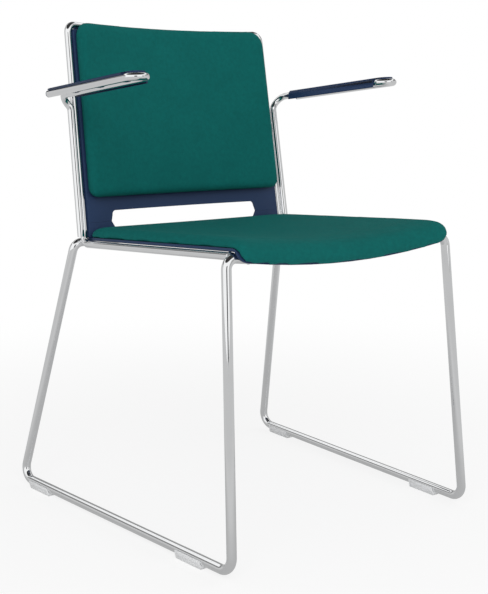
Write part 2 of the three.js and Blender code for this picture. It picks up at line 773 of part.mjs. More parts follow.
function slotShape() {
  const shape = new THREE.Shape();
  const foot = railHalfWidth - slotFootInset;
  const sill = railHalfWidth - slotSillInset;
  const seam = railHalfWidth - slotSeamInset;
  shape.moveTo(-foot, backFootHeight - overrun);
  shape.lineTo(foot, backFootHeight - overrun);
  shape.lineTo(sill, seamHeight - slotSillDrop);
  shape.lineTo(seam, seamHeight);
  const cornerX = slotTopHalfWidth - slotCorner;
  const cornerHeight = slotTopHeight - slotCorner;
  shape.absarc(cornerX, cornerHeight, slotCorner, 0, Math.PI / 2, false);
  shape.absarc(-cornerX, cornerHeight, slotCorner, Math.PI / 2, Math.PI, false);
  shape.lineTo(-seam, seamHeight);
  shape.lineTo(-sill, seamHeight - slotSillDrop);
  return shape;
}

function band(bottom, top) {
  const half = railHalfWidth + hoopTopHalfWidth;
  const shape = new THREE.Shape();
  shape.moveTo(-half, bottom);
  shape.lineTo(half, bottom);
  shape.lineTo(half, top);
  shape.lineTo(-half, top);
  return shape;
}

const slotted = backPanel.subtract(throughBack(slotShape()));
let backShell = slotted.subtract(throughBack(band(backFootHeight - overrun, seamHeight + weldGap)));
const ears = slotted.subtract(throughBack(band(seamHeight - weldGap, hoopTopHeight + overrun)));

// The seat shell's rear shelf carries the two upturned corners that the back shell's legs meet.
const shelfShape = new THREE.Shape();
shelfShape.moveTo(-shelfHalfWidth, panRearY - panRearCorner);
shelfShape.lineTo(shelfHalfWidth, panRearY - panRearCorner);
shelfShape.lineTo(shelfHalfWidth, shelfRearY - shelfCorner);
shelfShape.lineTo(shelfHalfWidth - shelfCorner, shelfRearY);
shelfShape.lineTo(-shelfHalfWidth + shelfCorner, shelfRearY);
shelfShape.lineTo(-shelfHalfWidth, shelfRearY - shelfCorner);
const shelfFoot = panHeight(shelfHalfWidth, panRearY - panRearCorner);
const shelfDepth = backFootHeight + shelfSink - shelfFoot;
const shelf = new THREE.ExtrudeGeometry(shelfShape, { depth: shelfDepth, bevelEnabled: false });
shelf.translate(0, 0, shelfFoot);
seatShell = seatShell.add(solidOf(shelf)).add(ears);

// Screws with a domed head, and the tabs and bosses that they join
const holeRadius = screwDiameter / 2 + screwClearance;

function screwGeometry(length) {
  const head = screwHeadDiameter / 2;
  const shank = screwDiameter / 2;
  return new THREE.LatheGeometry(
    [
      ...screwHeadShares.map(([out, up]) => new THREE.Vector2(head * out, -screwHeadHeight * up)),
      new THREE.Vector2(head, 0),
      new THREE.Vector2(shank, 0),
      new THREE.Vector2(shank, length),
      new THREE.Vector2(0, length),
    ],
    screwSides,
  );
}

// A tab in its own frame: the weld edge at the origin, its length along +Y, its thickness up from zero
function tabGeometry() {
  const shape = new THREE.Shape();
  shape.moveTo(-tabWidth / 2, 0);
  shape.lineTo(tabWidth / 2, 0);
  shape.lineTo(tabWidth / 2, tabLength - tabCorner);
  shape.lineTo(tabWidth / 2 - tabCorner, tabLength);
  shape.lineTo(tabCorner - tabWidth / 2, tabLength);
  shape.lineTo(-tabWidth / 2, tabLength - tabCorner);
  const hole = new THREE.Path().absarc(0, tabLength - tabHoleEdge, holeRadius, 0, 2 * Math.PI, true);
  shape.holes.push(hole);
  const settings = { depth: tabThickness, bevelEnabled: false, curveSegments: screwSides };
  return new THREE.ExtrudeGeometry(shape, settings);
}

function bossSolid(height, matrix) {
  const outer = new THREE.CylinderGeometry(bossDiameter / 2, bossDiameter / 2, height, bossSides);
  outer.rotateX(Math.PI / 2).translate(0, 0, height / 2).applyMatrix4(matrix);
  return solidOf(outer);
}

function bossHole(height, matrix) {
  const inner = new THREE.CylinderGeometry(holeRadius, holeRadius, height + overrun, screwSides);
  inner.rotateX(Math.PI / 2).translate(0, 0, (height - overrun) / 2).applyMatrix4(matrix);
  return solidOf(inner);
}

// Places one tab and screw; returns the frame at the hole, on the tab's far face, pointing at the shell.
function fixing(name, place) {
  const holder = new THREE.Group();
  holder.applyMatrix4(place);
  chair.add(holder);
  part(`${name}_tab`, tabGeometry(), chrome, holder);
  const hole = tabLength - tabHoleEdge;
  const screw = part(`${name}_screw`, screwGeometry(tabThickness + bossHoleDepth), zincSteel, holder);
  screw.rotation.x = Math.PI / 2;
  screw.position.set(0, hole, -weldGap);
  return place.clone().multiply(new THREE.Matrix4().makeTranslation(0, hole, tabThickness + weldGap));
}

for (const { name, sign } of sides) {
  const x = sign * seatTabHalfSpacing;
  const frontPlace = new THREE.Matrix4().makeTranslation(
    x,
    frontRodY + legRadius + weldGap,
    frontRodHeight(x) - tabThickness / 2,
  );
  const rearPlace = new THREE.Matrix4()
    .makeTranslation(x, rearRodY - legRadius - weldGap, rearRodHeight - tabThickness / 2)
    .multiply(new THREE.Matrix4().makeRotationZ(Math.PI));
  for (const [end, place] of [["front", frontPlace], ["rear", rearPlace]]) {
    const frame = fixing(`seat_${end}_${name}`, place);
    const at = new THREE.Vector3().setFromMatrixPosition(frame);
    const height = panHeight(at.x, at.y) - at.z;
    seatShell = seatShell.add(bossSolid(height + panWall / 2, frame));
    seatShell = seatShell.subtract(bossHole(height + bossHoleDepth, frame));
  }
}
part("seat_shell", geometryOf(seatShell), navyPlastic);

// Back tabs lie behind the shell's rim, square to the upright, and point inwards.
const lean = Math.atan((hoopTopY - hoopLowerY) / (hoopTopHeight - hoopLowerHeight));
const backTabs = [
  { end: "lower", height: seamHeight + backLowerTabRise },
  { end: "upper", height: hoopTopHeight - backUpperTabDrop },
];
for (const { name, sign } of sides) {
  for (const { end, height } of backTabs) {
    const upright = uprightAt(height);
    const rim = onBack(backEdge(height) - backRimWall, height, -backRimDepth);
    const clear = rim.y - upright.y + weldGap;
    const touch = Math.sqrt(Math.max((hoopRadius + 2 * weldGap) ** 2 - clear ** 2, 0));
    const place = new THREE.Matrix4()
      .makeTranslation(sign * upright.x, upright.y, upright.z)
      .multiply(new THREE.Matrix4().makeRotationX(-lean))
      .multiply(new THREE.Matrix4().makeTranslation(-sign * touch, clear + tabThickness, 0))
      .multiply(new THREE.Matrix4().makeRotationX(Math.PI / 2))
      .multiply(new THREE.Matrix4().makeRotationZ((sign * Math.PI) / 2));
    const frame = fixing(`back_${end}_${name}`, place);
    const at = new THREE.Vector3().setFromMatrixPosition(frame);
    const reach = at.y - onBack(at.x, at.z, -backWall).y;
    backShell = backShell.add(bossSolid(reach + backWall / 2, frame));
    backShell = backShell.subtract(bossHole(reach + bossHoleDepth, frame));
  }
}
part("back_shell", geometryOf(backShell), navyPlastic);

// Pads: a fabric-covered cushion over an inner board, with the board let into the cushion's underside
function boardLevels(outline, foot) {
  return [
    ...coreRings(outline, boardInset, foot),
    level(outline, boardInset, foot),
    level(outline, boardInset, foot + boardThickness),
    ...coreRings(outline, boardInset, foot + boardThickness).reverse(),
  ];
}

function padLevels(outline, foot, underside, edge, crown, middle, over = []) {
  const recess = foot + boardThickness + restGap;
  const top = (off) => middle + (crown.height - middle) * off * off;
  return [
    ...coreRings(outline, boardInset - restGap, recess),
    level(outline, boardInset - restGap, recess),
    level(outline, boardInset - restGap, foot),
    ...underside,
    ...edge,
    ...over.map((inset) => ({ ring: insetRing(outline, inset), height: top })),
    ...coreRings(outline, crown.inset, 0).reverse().map(({ ring }) => ({ ring, height: top })),
  ];
}

const seatCrown = { inset: seatPadCrownInset, height: panTop + seatPadCrown };
const lipTop = panLip + restGap;
const seatEdge = paddedEdge(
  seatOutline,
  { inset: weldGap, height: lipTop },
  { inset: -seatPadBulge, height: lipTop + seatPadLift },
  seatCrown,
);
const innerLip = panLipWidth + panWall / 2 + restGap;
const seatUnderside = [...wrapLevels(panTop), level(seatOutline, innerLip, lipTop)];
const seatMiddle = panTop + seatPadMiddle;
const seatOver = wrapShares.map((share) => wrapReach * share).filter((inset) => inset > seatCrown.inset);
const seatPadLevels = padLevels(
  seatOutline,
  panTop,
  seatUnderside,
  seatEdge,
  seatCrown,
  seatMiddle,
  seatOver.reverse(),
);

// The padding thins from the board's front edge to the nose.
function onSeatPad(x, forward, height) {
  const nose = Math.max(forward - panFront + boardInset, 0) / boardInset;
  const loft = Math.max(height - lipTop, 0) / (seatCrown.height - lipTop);
  return onSeat(x, forward, height - seatNoseThinning * nose * loft);
}

part("seat_cushion", skin(seatOutline, seatPadLevels, onSeatPad), tealFabric);
part("seat_board", skin(seatOutline, boardLevels(seatOutline, panTop), onSeat), plywood);

const padFoot = slotTopHeight + backPadFootRise;
const padOutline = backOutline(padFoot, hoopTopHeight + backPadTopRise, backPadFootCorner, backPadTopCorner);
const backCrown = { inset: backPadCrownInset, height: backPadGap + backPadCrown };
const backPadEdge = paddedEdge(
  padOutline,
  { inset: backPadSeamInset, height: backPadGap },
  { inset: backPadWideInset, height: backPadGap + backPadWideLift },
  backCrown,
);
const backPadLevels = padLevels(padOutline, backPadGap, [], backPadEdge, backCrown, backCrown.height);
const onBackPad = (x, height, forward) => onBack(x, height, forward, backPadTopDip);
part("back_cushion", skin(padOutline, backPadLevels, onBackPad), tealFabric);
part("back_board", skin(padOutline, boardLevels(padOutline, backPadGap), onBackPad), plywood);

// Glides clip round the runners and hold them off the floor.
function glideSection() {
  const groove = legRadius + weldGap;
  const outer = groove + glideWall;
  const shape = new THREE.Shape();
  shape.moveTo(-glideFootHalfWidth + glideChamfer, -runnerHeight);
  shape.lineTo(glideFootHalfWidth - glideChamfer, -runnerHeight);
  shape.lineTo(glideFootHalfWidth, glideChamfer - runnerHeight);
  shape.absarc(0, 0, outer, glideShoulderAngle, glideLipAngle, false);
  shape.absarc(0, 0, groove, glideLipAngle, -Math.PI - glideLipAngle, true);
  shape.absarc(0, 0, outer, Math.PI - glideLipAngle, Math.PI - glideShoulderAngle, false);
  shape.lineTo(-glideFootHalfWidth, glideChamfer - runnerHeight);
  return shape;
}

for (const { name, sign } of sides) {
  const front = new THREE.Vector3(sign * frontFloorHalfWidth, frontFloorY, runnerHeight);
  const rear = new THREE.Vector3(sign * rearFloorHalfWidth, rearFloorY, runnerHeight);
  const along = front.clone().sub(rear).normalize();
  for (const [end, y] of [
    ["front", frontFloorY + frontGlideSetback],
    ["rear", rearFloorY - rearGlideSetback],
  ]) {
    const settings = { depth: glideLength, bevelEnabled: false, curveSegments: grooveSteps };
    const clip = new THREE.ExtrudeGeometry(glideSection(), settings);
    const glide = part(`glide_${end}_${name}`, clip, clearPlastic);
    const up = new THREE.Vector3(0, 0, 1);
    glide.quaternion.setFromRotationMatrix(
      new THREE.Matrix4().makeBasis(new THREE.Vector3().crossVectors(up, along), up, along),
    );
    glide.position.copy(rear).lerp(front, (rearFloorY - y) / (rearFloorY - frontFloorY));
    glide.position.addScaledVector(along, -glideLength / 2);
  }
}

// The origin goes to the middle of the footprint.
const spread = new THREE.Box3().setFromObject(chair);
chair.position.y = -(spread.min.y + spread.max.y) / 2;

const visitorChair = new THREE.Group();
visitorChair.add(chair);

export default visitorChair;
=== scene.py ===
"""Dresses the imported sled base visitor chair: chromed rods, moulded shells, fabric pads and a studio."""
import math

import bmesh
import bpy
from bpy.props import FloatProperty, FloatVectorProperty, IntProperty, PointerProperty
from mathutils import Matrix, Vector
from mathutils.bvhtree import BVHTree
from mathutils.kdtree import KDTree


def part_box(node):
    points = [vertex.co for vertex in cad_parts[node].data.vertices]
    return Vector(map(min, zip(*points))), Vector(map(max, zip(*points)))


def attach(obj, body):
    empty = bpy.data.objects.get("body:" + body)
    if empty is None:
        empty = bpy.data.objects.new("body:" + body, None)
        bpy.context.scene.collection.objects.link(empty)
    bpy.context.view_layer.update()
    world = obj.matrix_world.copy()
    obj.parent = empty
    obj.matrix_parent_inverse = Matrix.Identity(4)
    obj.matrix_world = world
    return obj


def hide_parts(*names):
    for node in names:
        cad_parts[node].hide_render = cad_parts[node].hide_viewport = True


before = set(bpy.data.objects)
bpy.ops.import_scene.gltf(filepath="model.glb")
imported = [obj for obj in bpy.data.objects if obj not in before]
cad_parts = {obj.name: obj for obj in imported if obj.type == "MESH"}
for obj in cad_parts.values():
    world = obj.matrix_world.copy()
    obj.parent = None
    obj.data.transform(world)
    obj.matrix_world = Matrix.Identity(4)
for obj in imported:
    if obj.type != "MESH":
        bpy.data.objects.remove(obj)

bl_info = {
    "name": "Sled Base Visitor Chair",
    "version": (1, 0, 0),
    "blender": (4, 5, 0),
    "location": "3D View > Sidebar > Visitor Chair",
    "description": "Builds the chair's rods, shells, pads and studio around its packed solids",
    "category": "Add Mesh",
}

BODY = "root"
SIDES = (("left", -1), ("right", 1))

# Diameters of the rods in metres
LEG_ROD = 0.015
HOOP_ROD = 0.012

WHITE = (1.0, 1.0, 1.0, 1.0)


def tint(red, green, blue):
    """A colour given in display steps from 0 to 255, as the linear colour that shaders take."""
    def linear(step):
        share = step / 255
        return share / 12.92 if share <= 0.04045 else ((share + 0.055) / 1.055) ** 2.4
    return (linear(red), linear(green), linear(blue), 1.0)


# Settings that a user would change

class RodSettings(bpy.types.PropertyGroup):
    """Sizes and finish of the chromed rods."""
    leg_diameter: FloatProperty(
        name="Sled rod", description="Diameter of the sled and cross rods", default=LEG_ROD,
        subtype="DISTANCE", unit="LENGTH")
    hoop_diameter: FloatProperty(
        name="Hoop rod", description="Diameter of the hoop and arm rods", default=HOOP_ROD,
        subtype="DISTANCE", unit="LENGTH")
    sides: IntProperty(name="Sides", description="Facets round a rod", default=32, min=12, max=64)
    bend_step: FloatProperty(
        name="Bend step", description="Turn of each facet along a bend", default=math.radians(6),
        subtype="ANGLE", unit="ROTATION")
    bead: FloatProperty(
        name="Weld bead", description="Radius of the chromed weld beads", default=0.0013,
        subtype="DISTANCE", unit="LENGTH")
    chrome: FloatVectorProperty(
        name="Chrome", description="Colour of the plating", default=tint(244, 245, 246), size=4,
        subtype="COLOR", min=0, max=1)


class ShellSettings(bpy.types.PropertyGroup):
    """Finish of the moulded shells, arm pads, caps and glides."""
    navy: FloatVectorProperty(
        name="Shell colour", description="Colour of the moulded plastic", default=tint(36, 56, 89), size=4,
        subtype="COLOR", min=0, max=1)
    grain: FloatProperty(
        name="Grain", description="Size of the mould's fine grain", default=0.0007,
        subtype="DISTANCE", unit="LENGTH")
    edge: FloatProperty(
        name="Edge round", description="Radius along the moulded edges", default=0.0006,
        subtype="DISTANCE", unit="LENGTH")
    seam: FloatProperty(
        name="Seam", description="Gap where the back moulding meets the seat moulding", default=0.0002,
        subtype="DISTANCE", unit="LENGTH")
    seam_reach: FloatProperty(
        name="Seam reach", description="Edges this close to the seam are drawn to it", default=0.0005,
        subtype="DISTANCE", unit="LENGTH")
    milky: FloatVectorProperty(
        name="Glide colour", description="Colour of the clear glides", default=tint(247, 248, 249), size=4,
        subtype="COLOR", min=0, max=1)


class PadSettings(bpy.types.PropertyGroup):
    """Shape and cloth of the seat and back pads."""
    teal: FloatVectorProperty(
        name="Cloth colour", description="Main colour of the upholstery", default=tint(16, 110, 106), size=4,
        subtype="COLOR", min=0, max=1)
    thread: FloatProperty(
        name="Thread", description="Spacing of the cloth's threads", default=0.0011,
        subtype="DISTANCE", unit="LENGTH")
    voxel: FloatProperty(
        name="Voxel", description="Mesh size that the pads are filled at", default=0.004,
        subtype="DISTANCE", unit="LENGTH")
    pressure: FloatProperty(name="Pressure", description="Push of the foam on the cloth", default=4.0)
    swell: FloatProperty(
        name="Swell", description="Farthest that the cloth may rise from the foam", default=0.0022,
        subtype="DISTANCE", unit="LENGTH")
    held: FloatProperty(
        name="Held", description="Cloth this close to the shell stays where it is", default=0.004,
        subtype="DISTANCE", unit="LENGTH")
    rim_angle: FloatProperty(
        name="Rim angle", description="Turn across an edge that makes it part of the rim",
        default=math.radians(50), subtype="ANGLE", unit="ROTATION")
    rim_spacing: FloatProperty(
        name="Rim spacing", description="Spacing of the places that the cloth may take along the rim",
        default=0.0005, subtype="DISTANCE", unit="LENGTH")
    rim_share: FloatProperty(
        name="Rim share", description="Share of the voxel within which a point is moved to the rim",
        default=0.5, min=0, max=1)
    fits: IntProperty(
        name="Fits", description="Times that the even mesh is laid on the foam's shape", default=4)
    frames: IntProperty(name="Frames", description="Frames that the pads are filled for", default=20)


class StudioSettings(bpy.types.PropertyGroup):
    """Lamps, floor and backdrop."""
    key: FloatProperty(name="Key", description="Power of the large front lamp", default=46.0, subtype="POWER")
    fill: FloatProperty(name="Fill", description="Power of the side lamp", default=13.0, subtype="POWER")
    sky: FloatProperty(name="Sky", description="Level of the light from all round", default=0.56)
    floor: FloatVectorProperty(
        name="Floor", description="Colour of the floor", default=tint(250, 250, 250), size=4,
        subtype="COLOR", min=0, max=1)


# Shader building

class Level:
    """A shader number that can be used in Python sums."""

    def __init__(self, finish, socket):
        self.finish = finish
        self.socket = socket

    def join(self, operation, *values):
        """The number that a Math node makes of the values."""
        return self.finish.number("ShaderNodeMath", {"operation": operation}, dict(enumerate(values)))

    def __add__(self, other):
        return self.join("ADD", self, other)

    def __radd__(self, other):
        return self.join("ADD", other, self)

    def __sub__(self, other):
        return self.join("SUBTRACT", self, other)

    def __rsub__(self, other):
        return self.join("SUBTRACT", other, self)

    def __mul__(self, other):
        return self.join("MULTIPLY", self, other)

    def __rmul__(self, other):
        return self.join("MULTIPLY", other, self)

    def __abs__(self):
        return self.join("ABSOLUTE", self)

    def sine(self):
        return self.join("SINE", self)

    def ramp(self, low, high):
        """0 below low, 1 above high and smooth between them."""
        return self.finish.number(
            "ShaderNodeMapRange", {"interpolation_type": "SMOOTHSTEP"},
            {"Value": self, "From Min": low, "From Max": high})

    def band(self, centre, half, soft):
        """1 within half of the centre, fading to 0 over soft."""
        return 1 - abs(self - centre).ramp(half, half + soft)


class Finish:
    """A material, or the world, built from nodes."""

    def __init__(self, owner):
        owner.use_nodes = True
        self.owner = owner
        self.tree = owner.node_tree
        self.tree.nodes.clear()

    def node(self, kind, settings=None, sockets=None):
        """A node with its settings, and with values or links on its sockets."""
        made = self.tree.nodes.new(kind)
        for name, value in (settings or {}).items():
            setattr(made, name, value)
        for name, value in (sockets or {}).items():
            socket = made.inputs[name]
            if isinstance(value, Level):
                self.tree.links.new(value.socket, socket)
            elif isinstance(value, bpy.types.NodeSocket):
                self.tree.links.new(value, socket)
            else:
                socket.default_value = value
        return made

    def number(self, kind, settings=None, sockets=None, output=0):
        """A new node's output as a number."""
        return Level(self, self.node(kind, settings, sockets).outputs[output])

    def place(self):
        """The place on the piece, in metres."""
        return self.node("ShaderNodeTexCoord").outputs["Object"]

    def parts(self, vector):
        """The three numbers of a vector."""
        split = self.node("ShaderNodeSeparateXYZ", None, {"Vector": vector})
        return [Level(self, output) for output in split.outputs]

    def noise(self, size, detail=2.0, vector=None, roughness=0.5):
        """Smooth noise from 0 to 1 whose lumps are about size metres across."""
        return self.number("ShaderNodeTexNoise", None, {
            "Vector": vector or self.place(), "Scale": 1 / size, "Detail": detail, "Roughness": roughness})

    def mixed(self, share, first, second):
        """The first colour at share 0, the second at 1."""
        factor, first_colour, second_colour, result = 0, 6, 7, 2
        mix = self.node("ShaderNodeMix", {"data_type": "RGBA"}, {
            factor: share, first_colour: first, second_colour: second})
        return mix.outputs[result]

    def grey(self, level):
        """A colour that is a number's grey."""
        return self.node("ShaderNodeCombineXYZ", None, {"X": level, "Y": level, "Z": level}).outputs[0]

    def bump(self, height, depth, strength):
        """A surface direction from a height whose full step is depth metres."""
        return self.node("ShaderNodeBump", None, {
            "Height": height, "Distance": depth, "Strength": strength}).outputs["Normal"]

    def surface(self, shader, output="ShaderNodeOutputMaterial"):
        """Puts the shader on the owner and returns the owner."""
        self.node(output, None, {"Surface": shader.outputs[0]})
        return self.owner


def shade(colour, value):
    """A colour made lighter or darker."""
    return tuple(min(part * value, 1) for part in colour[:3]) + (1.0,)


# Sizes of what shows in the finishes, in metres
HAND_MARK = 0.035
WIPE_MARK = 0.004
PLATING_RIPPLE = 0.009
PLATING_DEPTH = 0.00002
WORN_PATCH = 0.06
MOULD_CLOUD = 0.12
GRAIN_DEPTH = 0.00012
YARN = 0.0016
YARN_WANDER = 0.006
CLOTH_BLOTCH = 0.0065
CLOTH_DRIFT = 0.045
CLOTH_DEPTH = 0.0003
NYLON_CLOUD = 0.01
NYLON_DEPTH = 0.0001
SCUFF = 0.0015
SCUFF_HEIGHT = 0.004
ZINC_SPANGLE = 0.0025
ZINC_DEPTH = 0.00005
WOOD_FIGURE = 0.05
WOOD_PORE = 0.004
WOOD_DEPTH = 0.0002


def chrome_finish(settings):
    """Polished plating with faint wipe marks and a trace of orange peel."""
    made = Finish(bpy.data.materials.new("chrome_plate"))
    marks = made.noise(HAND_MARK, 3)
    wipes = made.noise(WIPE_MARK, 2)
    peel = made.noise(PLATING_RIPPLE, 1)
    colour = made.mixed(marks, settings.chrome, shade(settings.chrome, 0.93))
    return made.surface(made.node("ShaderNodeBsdfPrincipled", None, {
        "Base Color": colour,
        "Metallic": 1.0,
        "Roughness": 0.02 + 0.025 * marks + 0.015 * wipes,
        "Normal": made.bump(peel, PLATING_DEPTH, 0.4),
    }))


def plastic_finish(settings):
    """Moulded plastic with a fine spark-eroded grain and a few rubbed, shinier places."""
    made = Finish(bpy.data.materials.new("navy_plastic"))
    grain = made.noise(settings.grain, 3)
    cells_per_grain = 0.6
    cells = made.number("ShaderNodeTexVoronoi", {"feature": "SMOOTH_F1"}, {
        "Vector": made.place(), "Scale": cells_per_grain / settings.grain})
    worn = made.noise(WORN_PATCH, 4).ramp(0.45, 0.75)
    cloudy = made.noise(MOULD_CLOUD, 2)
    colour = made.mixed(cloudy, shade(settings.navy, 0.92), shade(settings.navy, 1.1))
    return made.surface(made.node("ShaderNodeBsdfPrincipled", None, {
        "Base Color": colour,
        "Roughness": 0.46 - 0.07 * worn + 0.08 * grain,
        "Specular IOR Level": 0.25,
        "Normal": made.bump(grain + 0.6 * cells, GRAIN_DEPTH, 0.35),
    }))


def cloth_finish(settings):
    """Tight plain weave: threads that pass over and under, slightly uneven in height and colour, with painted
    shade in the low places between them.
    """
    made = Finish(bpy.data.materials.new("teal_cloth"))
    across, along, up = made.parts(made.place())
    _, _, upward = made.parts(made.node("ShaderNodeNewGeometry").outputs["True Normal"])
    lying = abs(upward).ramp(0.55, 0.8)
    turn = math.pi / settings.thread
    uneven = made.noise(YARN_WANDER, 2) * 1.4
    warp = (across * turn + uneven).sine()
    weft_lying = (along * turn + uneven).sine()
    weft_upright = (up * turn + uneven).sine()
    weave = 0.5 + 0.5 * (warp * weft_lying * lying + warp * weft_upright * (1 - lying))
    yarn = made.noise(YARN, 3)
    blotch = made.noise(CLOTH_BLOTCH, 4)
    drift = made.noise(CLOTH_DRIFT, 3)
    tone = made.mixed(drift.ramp(0.3, 0.7), shade(settings.teal, 0.96), shade(settings.teal, 1.06))
    heather = made.mixed(0.25 * yarn + 0.75 * blotch, tone, shade(settings.teal, 0.55))
    # Painted shade: where the weave is low, between the threads, the colour is darkened towards half the
    # cloth colour.
    colour = made.mixed((1 - weave) * 0.22, heather, shade(settings.teal, 0.5))
    return made.surface(made.node("ShaderNodeBsdfPrincipled", None, {
        "Base Color": colour,
        "Roughness": 0.86 + 0.1 * yarn,
        "Specular IOR Level": 0.12,
        "Sheen Weight": 0.06,
        "Sheen Roughness": 0.5,
        "Sheen Tint": shade(settings.teal, 4),
        "Normal": made.bump(weave + 0.5 * yarn + 0.4 * blotch, CLOTH_DEPTH, 0.6),
    }))


def milky_finish(settings):
    """Clear nylon that has gone milky, with scuffs where it slides."""
    made = Finish(bpy.data.materials.new("milky_nylon"))
    cloud = made.noise(NYLON_CLOUD, 3)
    _, _, height = made.parts(made.place())
    scuffed = (1 - height.ramp(0.0, SCUFF_HEIGHT)) * made.noise(SCUFF, 4)
    colour = made.mixed(cloud, settings.milky, shade(settings.milky, 0.93))
    return made.surface(made.node("ShaderNodeBsdfPrincipled", None, {
        "Base Color": made.mixed(scuffed, colour, shade(settings.milky, 0.6)),
        "Roughness": 0.3 + 0.12 * cloud + 0.3 * scuffed,
        "Transmission Weight": 0.06,
        "IOR": 1.5,
        "Normal": made.bump(cloud + scuffed, NYLON_DEPTH, 0.4),
    }))


def steel_finish():
    """Zinc-plated steel with a slightly blotchy passivation."""
    made = Finish(bpy.data.materials.new("zinc_steel"))
    spangle = made.noise(ZINC_SPANGLE, 3)
    colour = made.mixed(spangle, tint(196, 199, 202), tint(168, 170, 166))
    return made.surface(made.node("ShaderNodeBsdfPrincipled", None, {
        "Base Color": colour,
        "Metallic": 1.0,
        "Roughness": 0.28 + 0.14 * spangle,
        "Normal": made.bump(spangle, ZINC_DEPTH, 0.4),
    }))


def board_finish():
    """Raw plywood: long grain on its faces and thin plies along its edges."""
    made = Finish(bpy.data.materials.new("raw_plywood"))
    along_grain = made.node("ShaderNodeMapping", None, {
        "Vector": made.place(), "Scale": (1.0, 8.0, 8.0)}).outputs[0]
    grain = made.noise(WOOD_FIGURE, 5, along_grain, 0.6)
    pores = made.noise(WOOD_PORE, 3, along_grain)
    streaks = (grain * 40).sine() * 0.5 + 0.5
    colour = made.mixed(streaks, tint(205, 170, 124), tint(180, 140, 95))
    return made.surface(made.node("ShaderNodeBsdfPrincipled", None, {
        "Base Color": made.mixed(pores * 0.3, colour, tint(120, 86, 52)),
        "Roughness": 0.62 + 0.15 * pores,
        "Normal": made.bump(grain + pores, WOOD_DEPTH, 0.4),
    }))


FINISHES = {}


def finish(slot):
    """The material of one of the record's slots, made once."""
    scene = bpy.context.scene
    makers = {
        "chromed_rod": lambda: chrome_finish(scene.chair_rods),
        "shell_plastic": lambda: plastic_finish(scene.chair_shells),
        "upholstery": lambda: cloth_finish(scene.chair_pads),
        "glide_plastic": lambda: milky_finish(scene.chair_shells),
        "screw_steel": steel_finish,
        "board_wood": board_finish,
    }
    if slot not in FINISHES:
        FINISHES[slot] = makers[slot]()
    return FINISHES[slot]


# Shared modelling steps

# Points of a solid's loose triangles this close, in metres, are one point
SAME_POINT = 0.000002
# Widths of the rounded edges, as shares of the shells' edge
CAP_EDGE_SHARE = 0.6
TAB_EDGE_SHARE = 0.7
SCREW_EDGE_SHARE = 0.3
MOULDING_EDGE_SHARE = 0.7
GLIDE_EDGE_SHARE = 0.8


def add_piece(name, mesh_source, slot, *nodes, smooth=40):
    """Turns a bmesh into a piece of the chair that stands for the given solids."""
    mesh = bpy.data.meshes.new(name)
    mesh_source.to_mesh(mesh)
    mesh_source.free()
    piece = bpy.data.objects.new(name, mesh)
    bpy.context.scene.collection.objects.link(piece)
    mesh.materials.append(finish(slot))
    mesh.polygons.foreach_set("use_smooth", [True] * len(mesh.polygons))
    mesh.set_sharp_from_angle(angle=math.radians(smooth))
    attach(piece, BODY)
    if nodes:
        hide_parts(*nodes)
    return piece


def merged_copy(node):
    """A solid's triangles as one joined mesh."""
    copy = bmesh.new()
    copy.from_mesh(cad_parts[node].data)
    bmesh.ops.remove_doubles(copy, verts=copy.verts, dist=SAME_POINT)
    return copy


def soften(piece, width, segments=3, limit=40):
    """Rounds a piece's sharp edges."""
    edges = piece.modifiers.new("edges", "BEVEL")
    edges.width = width
    edges.segments = segments
    edges.limit_method = "ANGLE"
    edges.angle_limit = math.radians(limit)
    edges.use_clamp_overlap = True
    edges.harden_normals = True


def middle(node):
    """The middle of a solid's box."""
    low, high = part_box(node)
    return (low + high) / 2


# Rods

# Driving sizes of the rods' centre lines in metres, as on the solids' drawing: half widths to each side,
# places behind the drawing's origin and heights above the floor
FRONT_FLOOR_HALF_WIDTH = 0.2513
REAR_FLOOR_HALF_WIDTH = 0.2827
FRONT_TOP_HALF_WIDTH = 0.2301
REAR_TOP_HALF_WIDTH = 0.2304
FRONT_FLOOR_BACK = -0.2859
REAR_FLOOR_BACK = 0.2899
FRONT_ROD_BACK = -0.2468
FRONT_TOP_HEIGHT = 0.4652
GLIDE_DROP = 0.005
CROSS_JOINT_INSET = 0.0401
FRONT_ROD_SAG = 0.015
RAIL_INSET = 0.0118
RAIL_PROUD = 0.001
HOOP_FOOT_BACK = 0.1625
HOOP_FOOT_HEIGHT = 0.4454
HOOP_TOP_HALF_WIDTH = 0.2095
HOOP_TOP_BACK = 0.218
HOOP_TOP_HEIGHT = 0.8141
TOP_BOW_REACH = 0.056
TOP_BOW_DROP = 0.013
REAR_ROD_RISE = 0.0023
ARM_STANDOFF = 0.02766
ARM_RUN_SPACING = 0.0316
ARM_REAR_HEIGHT = 0.695
ARM_REACH = 0.2824
ARM_FRONT_SPLAY = 0.0059
ARM_FRONT_RISE = 0.0245
ARM_END_SETBACK = 0.0251
ARM_FLARE_DROP = 0.022
ARM_FLARE_BACK = 0.003
ARM_SIDE_ANGLE = math.radians(35.3)
WELD_GAP = 0.0003
REST_GAP = 0.0005

# Radii of the bends in metres. A bowed rod takes the widest bend that fits between its neighbours.
SLED_TOP_BEND = 0.016
SLED_FLOOR_BEND = 0.022
HOOP_FOOT_BEND = 0.013
HOOP_TOP_BEND = 0.015
ARM_FLARE_BEND = 0.014
ARM_REAR_BEND = 0.020
ARM_FRONT_BEND = ARM_RUN_SPACING / 2
WIDEST = None
LEAST_BEND_STEPS = 4
LEAST_RUN = 0.00002

# Ends and welds in metres, and shares of the weld bead's radius
RAIL_END_BEHIND = 0.0005
RAIL_WELD_BEHIND = 0.0072
HOOP_WELD_DROP = 0.00434
ARM_WELD_HEIGHTS = (0.470, 0.640)
ARM_WELD_HALF_LENGTH = 0.009
HOOP_WELD_HALF_LENGTH = 0.004
SLED_WELD_SUNK_SHARE = 0.35
RAIL_WELD_SUNK_SHARE = 0.4
HOOP_WELD_SHARE = 1.6
ARM_WELD_SHARE = 1.3

